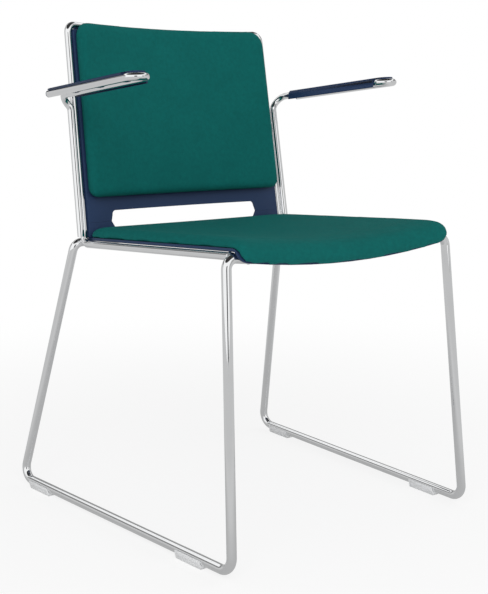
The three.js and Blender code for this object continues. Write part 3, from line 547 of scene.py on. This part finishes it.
# Front rod: it falls evenly from each sled's bend to its joint, and its middle is bowed between those lines.
LEG_RADIUS = LEG_ROD / 2
HOOP_RADIUS = HOOP_ROD / 2
JOINT_HALF_WIDTH = FRONT_TOP_HALF_WIDTH - CROSS_JOINT_INSET
RAIL_HALF_WIDTH = FRONT_TOP_HALF_WIDTH - RAIL_INSET
FRONT_ROD_SLOPE = FRONT_ROD_SAG / (FRONT_TOP_HALF_WIDTH - JOINT_HALF_WIDTH / 2)


def on_front_line(across):
    """The point on the front rod's falling line at a distance from the middle."""
    fall = FRONT_ROD_SLOPE * (FRONT_TOP_HALF_WIDTH - across)
    return Vector((across, FRONT_ROD_BACK, FRONT_TOP_HEIGHT - fall))


FRONT_TOP = on_front_line(FRONT_TOP_HALF_WIDTH)
FRONT_JOINT = on_front_line(JOINT_HALF_WIDTH)
FRONT_SAG = on_front_line(0)

# Hoop: the seat rails stand a little proud of the front rod.
RAIL_FRONT = on_front_line(RAIL_HALF_WIDTH) + Vector((0, 0, LEG_RADIUS + RAIL_PROUD - HOOP_RADIUS))
HOOP_FOOT = Vector((RAIL_HALF_WIDTH, HOOP_FOOT_BACK, HOOP_FOOT_HEIGHT))
HOOP_TOP = Vector((HOOP_TOP_HALF_WIDTH, HOOP_TOP_BACK, HOOP_TOP_HEIGHT))
HOOP_BOW = Vector((0, HOOP_TOP_BACK + TOP_BOW_REACH, HOOP_TOP_HEIGHT - TOP_BOW_DROP))
RAIL_WAY = HOOP_FOOT - RAIL_FRONT
UPRIGHT_WAY = (HOOP_TOP - HOOP_FOOT).normalized()


def on_rail(behind):
    """The point on the seat rail at a distance behind the front rod's middle."""
    return RAIL_FRONT + RAIL_WAY * (behind / RAIL_WAY.y)


def foot_bend():
    """The centre of the hoop's lower bend, seen from the side, and how far the bend reaches."""
    along = -RAIL_WAY.yz.normalized()
    up = UPRIGHT_WAY.yz.normalized()
    half = along.angle(up) / 2
    centre = HOOP_FOOT.yz + (along + up).normalized() * (HOOP_FOOT_BEND / math.sin(half))
    return centre, HOOP_FOOT_BEND / math.tan(half)


# Rear rod: it lies behind the hoop's lower bend and is welded to it.
FOOT_CENTRE, FOOT_REACH = foot_bend()
REAR_ROD_HEIGHT = HOOP_FOOT_HEIGHT + REAR_ROD_RISE
REAR_ROD_APART = HOOP_FOOT_BEND + HOOP_RADIUS + WELD_GAP + LEG_RADIUS
REAR_ROD_BACK = FOOT_CENTRE.x + math.sqrt(REAR_ROD_APART ** 2 - (FOOT_CENTRE.y - REAR_ROD_HEIGHT) ** 2)
RUNNER_HEIGHT = LEG_RADIUS + GLIDE_DROP
REAR_JOINT = Vector((JOINT_HALF_WIDTH, REAR_ROD_BACK, REAR_ROD_HEIGHT))
REAR_TOP = Vector((REAR_TOP_HALF_WIDTH, REAR_ROD_BACK, REAR_ROD_HEIGHT))
REAR_FLOOR = Vector((REAR_FLOOR_HALF_WIDTH, REAR_FLOOR_BACK, RUNNER_HEIGHT))
FRONT_FLOOR = Vector((FRONT_FLOOR_HALF_WIDTH, FRONT_FLOOR_BACK, RUNNER_HEIGHT))


def under_hoop():
    """The place of the bead in the notch below where the hoop's bend and the rear rod touch."""
    rear = REAR_JOINT.yz
    ahead = (FOOT_CENTRE - rear).normalized()
    down = Vector((-ahead.y, ahead.x))
    notch = rear + ahead * (LEG_RADIUS + WELD_GAP / 2) + down * HOOP_WELD_DROP
    return Vector((RAIL_HALF_WIDTH, notch.x, notch.y))


def at_height(low, high, height):
    """The point at a height on the line between two points."""
    return low.lerp(high, (height - low.z) / (high.z - low.z))


def beside_upright():
    """The step from an upright's centre line to that of the arm rod welded beside it."""
    outward = (Vector((1, 0, 0)) - UPRIGHT_WAY * UPRIGHT_WAY.x).normalized()
    ahead = outward.cross(UPRIGHT_WAY)
    way = outward * math.cos(ARM_SIDE_ANGLE) + ahead * math.sin(ARM_SIDE_ANGLE)
    return way * (HOOP_ROD + WELD_GAP)


def on_arm(ahead, across=0):
    """The point on the arm at a distance ahead of its rear bend, and across to its outer run."""
    upright = at_height(HOOP_FOOT, HOOP_TOP, ARM_REAR_HEIGHT)
    rear = upright + Vector((ARM_STANDOFF, ARM_FLARE_BACK - HOOP_RADIUS, 0))
    run = Vector((ARM_FRONT_SPLAY, -ARM_REACH, ARM_FRONT_RISE)) * (ahead / ARM_REACH)
    return rear + run + Vector((ARM_REACH, ARM_FRONT_SPLAY, 0)).normalized() * across


# Arms: each rod runs up beside the upright, flares out, goes forward and comes back to a free end.
ARM_FOOT = HOOP_FOOT + UPRIGHT_WAY * (FOOT_REACH + REST_GAP) + beside_upright()
ARM_FLARE = at_height(HOOP_FOOT, HOOP_TOP, ARM_REAR_HEIGHT - ARM_FLARE_DROP) + beside_upright()
ARM_REAR = on_arm(0)
ARM_FRONT = on_arm(ARM_REACH)
ARM_RETURN = on_arm(ARM_REACH, ARM_RUN_SPACING)
ARM_END = on_arm(ARM_END_SETBACK, ARM_RUN_SPACING)

# How far the solids' origin was moved back when the part was centred on its footprint
SETBACK = middle("rear_cross_rod").y - REAR_ROD_BACK


def placed(place, sign=1):
    """A place on the drawing where it lies on the part, on the right or, with sign -1, on the left."""
    return Vector((sign * place.x, place.y + SETBACK, place.z))


def ring_edges(points):
    """The edges that join the points of a ring."""
    inside = set(points)
    touching = dict.fromkeys(e for v in points for e in v.link_edges)
    return [e for e in touching if set(e.verts) <= inside]


def carry_on(tube, ring, move):
    """Draws a ring of points out along a straight run and returns the new ring."""
    made = bmesh.ops.extrude_edge_only(tube, edges=ring_edges(ring))["geom"]
    ends = [g for g in made if isinstance(g, bmesh.types.BMVert)]
    bmesh.ops.translate(tube, verts=ends, vec=move)
    return ends


def turn_round(tube, ring, centre, axis, angle, steps):
    """Swings a ring of points round a bend and returns the new ring."""
    made = bmesh.ops.spin(
        tube, geom=ring + ring_edges(ring), cent=centre, axis=axis, dvec=(0, 0, 0), angle=angle,
        steps=steps, use_merge=False, use_normal_flip=False, use_duplicate=False)["geom_last"]
    return [g for g in made if isinstance(g, bmesh.types.BMVert)]


def facing(way):
    """The turn that points a shape's own Z the given way."""
    return way.to_track_quat("Z", "Y").to_matrix().to_4x4()


def work_out_bends(corners):
    """The way in and out of each bend, its angle and radius, and how far it reaches from its corner."""
    points = [point for point, _ in corners]
    bends = []
    for i in range(1, len(corners) - 1):
        before = (points[i] - points[i - 1]).normalized()
        after = (points[i + 1] - points[i]).normalized()
        angle = before.angle(after)
        bends.append({"before": before, "after": after, "angle": angle, "radius": corners[i][1],
                      "reach": (corners[i][1] or 0) * math.tan(angle / 2)})
    for i, bend in enumerate(bends):
        if bend["radius"] is WIDEST:
            taken = [bends[k]["reach"] if 0 <= k < len(bends) else 0 for k in (i - 1, i + 1)]
            runs = [(points[i + 1] - points[i]).length, (points[i + 2] - points[i + 1]).length]
            bend["reach"] = min(run - other for run, other in zip(runs, taken))
            bend["radius"] = bend["reach"] / math.tan(bend["angle"] / 2)
    return bends


def draw_rod(tube, corners, radius):
    """Bends a round rod through its corners, each a point and the radius of its bend."""
    settings = bpy.context.scene.chair_rods
    points = [point for point, _ in corners]
    heading = (points[1] - points[0]).normalized()
    ring = bmesh.ops.create_circle(
        tube, cap_ends=False, radius=radius, segments=settings.sides,
        matrix=Matrix.Translation(points[0]) @ facing(heading))["verts"]
    first, at = ring, points[0]
    for point, bend in zip(points[1:], work_out_bends(corners)):
        start = point - bend["before"] * bend["reach"]
        if (start - at).length > LEAST_RUN:
            ring = carry_on(tube, ring, start - at)
        axis = bend["before"].cross(bend["after"]).normalized()
        centre = start + axis.cross(bend["before"]) * bend["radius"]
        steps = max(LEAST_BEND_STEPS, math.ceil(bend["angle"] / settings.bend_step))
        ring = turn_round(tube, ring, centre, axis, bend["angle"], steps)
        at = point + bend["after"] * bend["reach"]
    ring = carry_on(tube, ring, points[-1] - at)
    for end in (first, ring):
        bmesh.ops.contextual_create(tube, geom=ring_edges(end))
    return tube


def weld_ring(tube, at, axis, radius, bead):
    """Lays a weld bead round a rod."""
    bead_sides, turns = 10, 36
    axis = axis.normalized()
    side = axis.orthogonal().normalized()
    ring = bmesh.ops.create_circle(
        tube, cap_ends=False, radius=bead, segments=bead_sides,
        matrix=Matrix.Translation(at + side * radius) @ facing(axis.cross(side)))["verts"]
    bmesh.ops.spin(
        tube, geom=ring + ring_edges(ring), cent=at, axis=axis, dvec=(0, 0, 0), angle=math.tau,
        steps=turns, use_merge=True, use_normal_flip=False, use_duplicate=False)


def weld_bead(tube, start, end, radius):
    """Lays a straight weld bead with rounded ends."""
    run = end - start
    stretch = Matrix.Diagonal((1, 1, (run.length / 2 + radius) / radius, 1))
    bmesh.ops.create_uvsphere(
        tube, u_segments=16, v_segments=12, radius=radius,
        matrix=Matrix.Translation((start + end) / 2) @ facing(run) @ stretch)


def corners_of(bends, sign=1):
    """The corners of a rod from places on the drawing, each with its bend's radius."""
    return [(placed(place, sign), radius) for place, radius in bends]


def finished_rod(tube, name, *nodes):
    """Turns a rod's tube and welds into its piece."""
    bmesh.ops.recalc_face_normals(tube, faces=tube.faces)
    return add_piece(name, tube, "chromed_rod", *nodes, smooth=50)


class CHAIR_OT_sleds(bpy.types.Operator):
    """Bends the two side sleds and the cross rods under the seat, and welds them together"""
    bl_idname = "chair.sleds"
    bl_label = "Sleds and cross rods"

    def execute(self, context):
        settings = context.scene.chair_rods
        radius = settings.leg_diameter / 2
        weld_radius = radius - settings.bead * SLED_WELD_SUNK_SHARE
        bends = (
            (REAR_JOINT, 0),
            (REAR_TOP, SLED_TOP_BEND),
            (REAR_FLOOR, SLED_FLOOR_BEND),
            (FRONT_FLOOR, SLED_FLOOR_BEND),
            (FRONT_TOP, SLED_TOP_BEND),
            (FRONT_JOINT, 0),
        )
        for name, sign in SIDES:
            sled = draw_rod(bmesh.new(), corners_of(bends, sign), radius)
            for joint, top in ((REAR_JOINT, REAR_TOP), (FRONT_JOINT, FRONT_TOP)):
                at = placed(joint, sign)
                weld_ring(sled, at, placed(top, sign) - at, weld_radius, settings.bead)
            finished_rod(sled, f"{name}_sled", f"sled_{name}")
        rear = [(placed(REAR_JOINT, -1), 0), (placed(REAR_JOINT), 0)]
        finished_rod(draw_rod(bmesh.new(), rear, radius), "rear_cross", "rear_cross_rod")
        bow = [(placed(FRONT_JOINT, -1), 0), (placed(FRONT_SAG), WIDEST), (placed(FRONT_JOINT), 0)]
        finished_rod(draw_rod(bmesh.new(), bow, radius), "front_cross", "front_cross_rod")
        return {"FINISHED"}


class CHAIR_OT_hoop(bpy.types.Operator):
    """Bends the hoop: two seat rails, two uprights and the bowed top"""
    bl_idname = "chair.hoop"
    bl_label = "Hoop rod"

    def execute(self, context):
        settings = context.scene.chair_rods
        radius = settings.hoop_diameter / 2
        weld_radius = radius - settings.bead * RAIL_WELD_SUNK_SHARE
        half_weld = Vector((HOOP_WELD_HALF_LENGTH, 0, 0))
        side = ((on_rail(RAIL_END_BEHIND), 0), (HOOP_FOOT, HOOP_FOOT_BEND), (HOOP_TOP, HOOP_TOP_BEND))
        corners = corners_of(side, -1) + [(placed(HOOP_BOW), WIDEST)] + corners_of(side)[::-1]
        hoop = draw_rod(bmesh.new(), corners, radius)
        for _, sign in SIDES:
            weld_ring(hoop, placed(on_rail(RAIL_WELD_BEHIND), sign), RAIL_WAY, weld_radius, settings.bead)
            notch = placed(under_hoop(), sign)
            weld_bead(hoop, notch - half_weld, notch + half_weld, settings.bead * HOOP_WELD_SHARE)
        finished_rod(hoop, "hoop", "hoop_rod")
        return {"FINISHED"}


class CHAIR_OT_arms(bpy.types.Operator):
    """Bends the arm rods, fits their end caps and clips the plastic pads over them"""
    bl_idname = "chair.arms"
    bl_label = "Arms"

    def execute(self, context):
        settings = context.scene.chair_rods
        edge = context.scene.chair_shells.edge
        radius = settings.hoop_diameter / 2
        bends = (
            (ARM_FOOT, 0),
            (ARM_FLARE, ARM_FLARE_BEND),
            (ARM_REAR, ARM_REAR_BEND),
            (ARM_FRONT, ARM_FRONT_BEND),
            (ARM_RETURN, ARM_FRONT_BEND),
            (ARM_END, 0),
        )
        for name, sign in SIDES:
            arm = draw_rod(bmesh.new(), corners_of(bends, sign), radius)
            half_weld = (placed(HOOP_TOP, sign) - placed(HOOP_FOOT, sign)).normalized() * ARM_WELD_HALF_LENGTH
            for height in ARM_WELD_HEIGHTS:
                on_upright = at_height(placed(HOOP_FOOT, sign), placed(HOOP_TOP, sign), height)
                on_arm = at_height(placed(ARM_FOOT, sign), placed(ARM_FLARE, sign), height)
                at = (on_upright + on_arm) / 2
                weld_bead(arm, at - half_weld, at + half_weld, settings.bead * ARM_WELD_SHARE)
            finished_rod(arm, f"{name}_arm", f"arm_rod_{name}")
            cap = add_piece(f"{name}_arm_cap", merged_copy(f"arm_rod_cap_{name}"), "shell_plastic",
                            f"arm_rod_cap_{name}", smooth=50)
            soften(cap, edge * CAP_EDGE_SHARE, 2)
            pad = add_piece(f"{name}_arm_pad", merged_copy(f"arm_pad_{name}"), "shell_plastic",
                            f"arm_pad_{name}", smooth=45)
            soften(pad, edge, 3, 45)
        return {"FINISHED"}


class CHAIR_OT_fixings(bpy.types.Operator):
    """Rounds the welded tabs and the screws that hold the shells"""
    bl_idname = "chair.fixings"
    bl_label = "Tabs and screws"

    def execute(self, context):
        edge = context.scene.chair_shells.edge
        for place in ("seat_front", "seat_rear", "back_lower", "back_upper"):
            for side, _ in SIDES:
                tab = add_piece(f"{place}_{side}_plate", merged_copy(f"{place}_{side}_tab"), "chromed_rod",
                                f"{place}_{side}_tab")
                soften(tab, edge * TAB_EDGE_SHARE, 2)
                screw = add_piece(f"{place}_{side}_bolt", merged_copy(f"{place}_{side}_screw"), "screw_steel",
                                  f"{place}_{side}_screw")
                soften(screw, edge * SCREW_EDGE_SHARE, 2)
        return {"FINISHED"}


class CHAIR_OT_shells(bpy.types.Operator):
    """Dresses the moulded seat and back shells"""
    bl_idname = "chair.shells"
    bl_label = "Shells"

    def execute(self, context):
        settings = context.scene.chair_shells
        seam = (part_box("seat_shell")[1].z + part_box("back_shell")[0].z) / 2
        for name, side in (("seat", -1), ("back", 1)):
            shell = merged_copy(f"{name}_shell")
            rim = [v for v in shell.verts if abs(v.co.z - seam) < settings.seam_reach]
            for vertex in rim:
                vertex.co.z = seam + side * settings.seam / 2
            moulding = add_piece(f"{name}_moulding", shell, "shell_plastic", f"{name}_shell", smooth=32)
            soften(moulding, settings.edge * MOULDING_EDGE_SHARE, 2, 50)
        return {"FINISHED"}


class CHAIR_OT_glides(bpy.types.Operator):
    """Dresses the clear glides and the pads' inner boards"""
    bl_idname = "chair.glides"
    bl_label = "Glides and boards"

    def execute(self, context):
        edge = context.scene.chair_shells.edge
        for end in ("front", "rear"):
            for side, _ in SIDES:
                glide = add_piece(f"{end}_{side}_foot", merged_copy(f"glide_{end}_{side}"), "glide_plastic",
                                  f"glide_{end}_{side}", smooth=35)
                soften(glide, edge * GLIDE_EDGE_SHARE, 2)
        for name in ("seat", "back"):
            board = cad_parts[f"{name}_board"]
            board.data.materials.clear()
            board.data.materials.append(finish("board_wood"))
        return {"FINISHED"}


# Pads

CLOTH_SETTINGS = {
    "quality": 6,
    "mass": 0.3,
    "tension_stiffness": 20,
    "compression_stiffness": 20,
    "bending_stiffness": 0.6,
    "use_pressure": True,
}
RELAX_SHARE = 0.5


def applied(piece):
    """Puts what a piece's modifiers make into its mesh, and takes the modifiers off."""
    view = bpy.context.evaluated_depsgraph_get()
    view.update()
    mesh = bpy.data.meshes.new_from_object(piece.evaluated_get(view))
    piece.modifiers.clear()
    old, piece.data = piece.data, mesh
    bpy.data.meshes.remove(old)


def relax(mesh, rounds, fixed=()):
    """Evens out a mesh's points, apart from the fixed ones."""
    work = bmesh.new()
    work.from_mesh(mesh)
    work.verts.ensure_lookup_table()
    free = [v for v in work.verts if v.index not in fixed]
    for _ in range(rounds):
        bmesh.ops.smooth_vert(
            work, verts=free, factor=RELAX_SHARE, use_axis_x=True, use_axis_y=True, use_axis_z=True)
    work.to_mesh(mesh)
    work.free()


def draw_to_rim(pad, foam_node, settings):
    """Moves the cloth's points beside the foam's sharp rim onto it, so that the rim stays crisp."""
    foam = merged_copy(foam_node)
    marks = []
    for edge in foam.edges:
        if edge.is_manifold and edge.calc_face_angle() > settings.rim_angle:
            start, end = (v.co for v in edge.verts)
            steps = max(1, round((end - start).length / settings.rim_spacing))
            marks += [start.lerp(end, i / steps) for i in range(steps + 1)]
    foam.free()
    rim = KDTree(len(marks))
    for i, mark in enumerate(marks):
        rim.insert(mark, i)
    rim.balance()
    for vertex in pad.data.vertices:
        at, _, distance = rim.find(vertex.co)
        if distance < settings.voxel * settings.rim_share:
            vertex.co = at


def lay_on_foam(pad, foam_node, settings):
    """Gives the pad an even mesh that follows the foam's shape."""
    remesh = pad.modifiers.new("even mesh", "REMESH")
    remesh.mode = "VOXEL"
    remesh.voxel_size = settings.voxel
    applied(pad)
    for _ in range(settings.fits):
        relax(pad.data, 2)
        fit = pad.modifiers.new("foam shape", "SHRINKWRAP")
        fit.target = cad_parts[foam_node]
        fit.wrap_method = "NEAREST_SURFACEPOINT"
        applied(pad)
    relax(pad.data, 1)
    draw_to_rim(pad, foam_node, settings)


def points_near(pad, shell_node, reach):
    """The pad's points that lie within reach of the shell."""
    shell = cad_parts[shell_node].data
    near = BVHTree.FromPolygons([v.co for v in shell.vertices], [p.vertices for p in shell.polygons])
    return [v.index for v in pad.data.vertices if near.find_nearest(v.co)[3] < reach]


def press_out(pad, held, settings):
    """Lets the foam press the cloth out, with the held points kept and every move kept small."""
    start = [v.co.copy() for v in pad.data.vertices]
    group = pad.vertex_groups.new(name="held")
    group.add(held, 1.0, "REPLACE")
    cloth = pad.modifiers.new("fill", "CLOTH")
    for name, value in CLOTH_SETTINGS.items():
        setattr(cloth.settings, name, value)
    cloth.settings.uniform_pressure_force = settings.pressure
    cloth.settings.vertex_group_mass = group.name
    cloth.settings.effector_weights.gravity = 0
    cloth.point_cache.frame_start = 1
    cloth.point_cache.frame_end = settings.frames
    scene = bpy.context.scene
    for step in range(1, settings.frames + 1):
        scene.frame_set(step)
    applied(pad)
    scene.frame_set(1)
    pad.vertex_groups.clear()
    for vertex, before in zip(pad.data.vertices, start):
        move = vertex.co - before
        if move.length > settings.swell:
            vertex.co = before + move * (settings.swell / move.length)
    relax(pad.data, 1, fixed=set(held))


def fill_pad(pad, foam_node, shell_node, settings):
    """Shapes the cloth over its foam, fills it and smooths it."""
    lay_on_foam(pad, foam_node, settings)
    press_out(pad, points_near(pad, shell_node, settings.held), settings)
    pad.data.polygons.foreach_set("use_smooth", [True] * len(pad.data.polygons))
    smooth = pad.modifiers.new("smooth", "SUBSURF")
    smooth.levels = smooth.render_levels = 1


class CHAIR_OT_pads(bpy.types.Operator):
    """Upholsters the seat and back pads: cloth pressed out by its foam and held along the shells"""
    bl_idname = "chair.pads"
    bl_label = "Seat and back pads"

    def execute(self, context):
        settings = context.scene.chair_pads
        for name in ("seat", "back"):
            pad = add_piece(f"{name}_pad", merged_copy(f"{name}_cushion"), "upholstery", f"{name}_cushion",
                            smooth=180)
            fill_pad(pad, f"{name}_cushion", f"{name}_shell", settings)
        return {"FINISHED"}


# Studio

FLOOR_RADIUS = 12.0
SHADOW_FADE = (0.5, 1.8)
MIRRORED_FLOOR_FADE = (0.3, 1.0)
KEY_SIZE = 3.0
KEY_PLACE = (-1.7, -2.3, 1.9)
FILL_SIZE = 2.4
FILL_PLACE = (2.3, -1.1, 1.6)
LAMP_AIM = (0.0, 0.0, 0.5)
CAMERA_PLACE = (-1.16843, -1.46066, 0.67163)
CAMERA_TILT = math.radians(80.31)
CAMERA_TURN = math.radians(-38.64)
CAMERA_LENS = 66.54
CAMERA_SENSOR = 36.0

# What the chrome sees round the chair. FRONT is the way to the camera on the ground. Gaps, screens and walls
# are placed by their angle from it in radians, and the rest by how steeply one looks up, from -1 to 1.
FRONT = (-0.625, -0.781)
MIDDLE_GAP = (0.16, 0.17, 0.05)
SIDE_GAP = (1.2, 0.14, 0.05)
SCREENS_END = (1.15, 1.6)
BACK_WALL = (2.2, 2.7)
BACK_WALL_HEIGHTS = (0.0, 0.3, 0.05)
SHELF_START = (1.5, 1.7)
SHELF_HEIGHTS = (0.46, 0.09, 0.03)
WALLS_END = (0.36, 0.42)
CEILING = (0.7, 0.74)


def ray_kinds(made):
    """1 for a mirrored ray, and 1 for any ray that shows what it meets."""
    rays = made.node("ShaderNodeLightPath").outputs
    mirror = Level(made, rays["Is Glossy Ray"])
    return mirror, Level(made, rays["Is Camera Ray"]) + Level(made, rays["Is Transmission Ray"]) + mirror


def floor_finish(settings):
    """Pale floor that keeps the chair's shadow, runs into the white backdrop and is greyer in the chrome."""
    made = Finish(bpy.data.materials.new("studio_floor"))
    mirror, seen = ray_kinds(made)
    distance = made.number("ShaderNodeVectorMath", {"operation": "LENGTH"}, {0: made.place()}, "Value")
    away = distance.ramp(*SHADOW_FADE)
    dimmed = mirror * (0.58 - 0.16 * distance.ramp(*MIRRORED_FLOOR_FADE))
    near = made.node("ShaderNodeBsdfDiffuse", None, {"Color": settings.floor})
    white = made.node("ShaderNodeEmission", None, {"Color": made.grey(1 - dimmed), "Strength": 1.0})
    return made.surface(made.node("ShaderNodeMixShader", None, {
        0: seen * (0.8 + 0.2 * away), 1: near.outputs[0], 2: white.outputs[0]}))


def backdrop(world, settings):
    """White to the eye. The chrome sees it brighter in front, with greyer walls and a few dark gaps."""
    made = Finish(world)
    mirror, seen = ray_kinds(made)
    x, y, z = made.parts(made.node("ShaderNodeTexCoord").outputs["Generated"])
    ahead = x * FRONT[0] + y * FRONT[1]
    right = x * -FRONT[1] + y * FRONT[0]
    turn = right.join("ARCTAN2", right, ahead)
    screens = 1 - abs(turn).ramp(*SCREENS_END)
    gaps = turn.band(*MIDDLE_GAP) + 0.6 * turn.band(*SIDE_GAP)
    behind = abs(turn).ramp(*BACK_WALL) * z.band(*BACK_WALL_HEIGHTS)
    shelf = abs(turn).ramp(*SHELF_START) * z.band(*SHELF_HEIGHTS)
    walls = 0.6 + 0.4 * screens - 0.92 * gaps - 0.18 * behind
    tones = walls + (1 - walls) * z.ramp(*WALLS_END) - 0.74 * shelf - 0.96 * z.ramp(*CEILING)
    shown = 1 - mirror * (1 - tones)
    light = made.node("ShaderNodeBackground", None, {"Color": WHITE, "Strength": settings.sky})
    white = made.node("ShaderNodeBackground", None, {"Color": made.grey(shown), "Strength": 1.0})
    made.surface(made.node("ShaderNodeMixShader", None, {
        0: seen, 1: light.outputs[0], 2: white.outputs[0]}), "ShaderNodeOutputWorld")


def add_lamp(name, power, size, place):
    """A square soft lamp that points at the chair and isn't mirrored in it."""
    light = bpy.data.lights.new(name, "AREA")
    light.energy = power
    light.shape = "SQUARE"
    light.size = size
    lamp = bpy.data.objects.new(name, light)
    lamp.location = place
    lamp.rotation_euler = (Vector(LAMP_AIM) - Vector(place)).to_track_quat("-Z", "Y").to_euler()
    lamp.visible_glossy = False
    bpy.context.scene.collection.objects.link(lamp)


class CHAIR_OT_studio(bpy.types.Operator):
    """Sets the floor, the backdrop, the soft lamps and the camera"""
    bl_idname = "chair.studio"
    bl_label = "Studio"

    def execute(self, context):
        scene = context.scene
        settings = scene.chair_studio
        ground = bmesh.new()
        bmesh.ops.create_circle(ground, cap_ends=True, radius=FLOOR_RADIUS, segments=64)
        mesh = bpy.data.meshes.new("studio_floor")
        ground.to_mesh(mesh)
        ground.free()
        mesh.materials.append(floor_finish(settings))
        floor = bpy.data.objects.new("studio_floor", mesh)
        scene.collection.objects.link(floor)
        scene.world = bpy.data.worlds.new("studio_backdrop")
        backdrop(scene.world, settings)
        add_lamp("key_lamp", settings.key, KEY_SIZE, KEY_PLACE)
        add_lamp("fill_lamp", settings.fill, FILL_SIZE, FILL_PLACE)
        lens = bpy.data.cameras.new("photo_camera")
        lens.lens = CAMERA_LENS
        lens.sensor_width = CAMERA_SENSOR
        camera = bpy.data.objects.new("photo_camera", lens)
        camera.location = CAMERA_PLACE
        camera.rotation_euler = (CAMERA_TILT, 0, CAMERA_TURN)
        scene.collection.objects.link(camera)
        scene.camera = camera
        scene.view_settings.view_transform = "Standard"
        return {"FINISHED"}


class CHAIR_PT_panel(bpy.types.Panel):
    """Lists the chair's pieces and their settings"""
    bl_idname = "CHAIR_PT_panel"
    bl_label = "Visitor Chair"
    bl_space_type = "VIEW_3D"
    bl_region_type = "UI"
    bl_category = "Visitor Chair"

    def draw(self, context):
        layout = self.layout
        for operator in OPERATORS:
            layout.operator(operator.bl_idname)
        for name in SETTINGS:
            box = layout.box()
            group = getattr(context.scene, name)
            for key in group.__annotations__:
                box.prop(group, key)


SETTINGS = {
    "chair_rods": RodSettings,
    "chair_shells": ShellSettings,
    "chair_pads": PadSettings,
    "chair_studio": StudioSettings,
}
OPERATORS = (
    CHAIR_OT_sleds,
    CHAIR_OT_hoop,
    CHAIR_OT_arms,
    CHAIR_OT_fixings,
    CHAIR_OT_shells,
    CHAIR_OT_glides,
    CHAIR_OT_pads,
    CHAIR_OT_studio,
)


def register():
    for made in (*SETTINGS.values(), *OPERATORS, CHAIR_PT_panel):
        bpy.utils.register_class(made)
    for name, group in SETTINGS.items():
        setattr(bpy.types.Scene, name, PointerProperty(type=group))


def unregister():
    for name in SETTINGS:
        delattr(bpy.types.Scene, name)
    for made in reversed((*SETTINGS.values(), *OPERATORS, CHAIR_PT_panel)):
        bpy.utils.unregister_class(made)


def main():
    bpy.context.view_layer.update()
    register()
    bpy.ops.chair.sleds()
    bpy.ops.chair.hoop()
    bpy.ops.chair.arms()
    bpy.ops.chair.fixings()
    bpy.ops.chair.shells()
    bpy.ops.chair.glides()
    bpy.ops.chair.pads()
    bpy.ops.chair.studio()


if __name__ == "__main__":
    main()
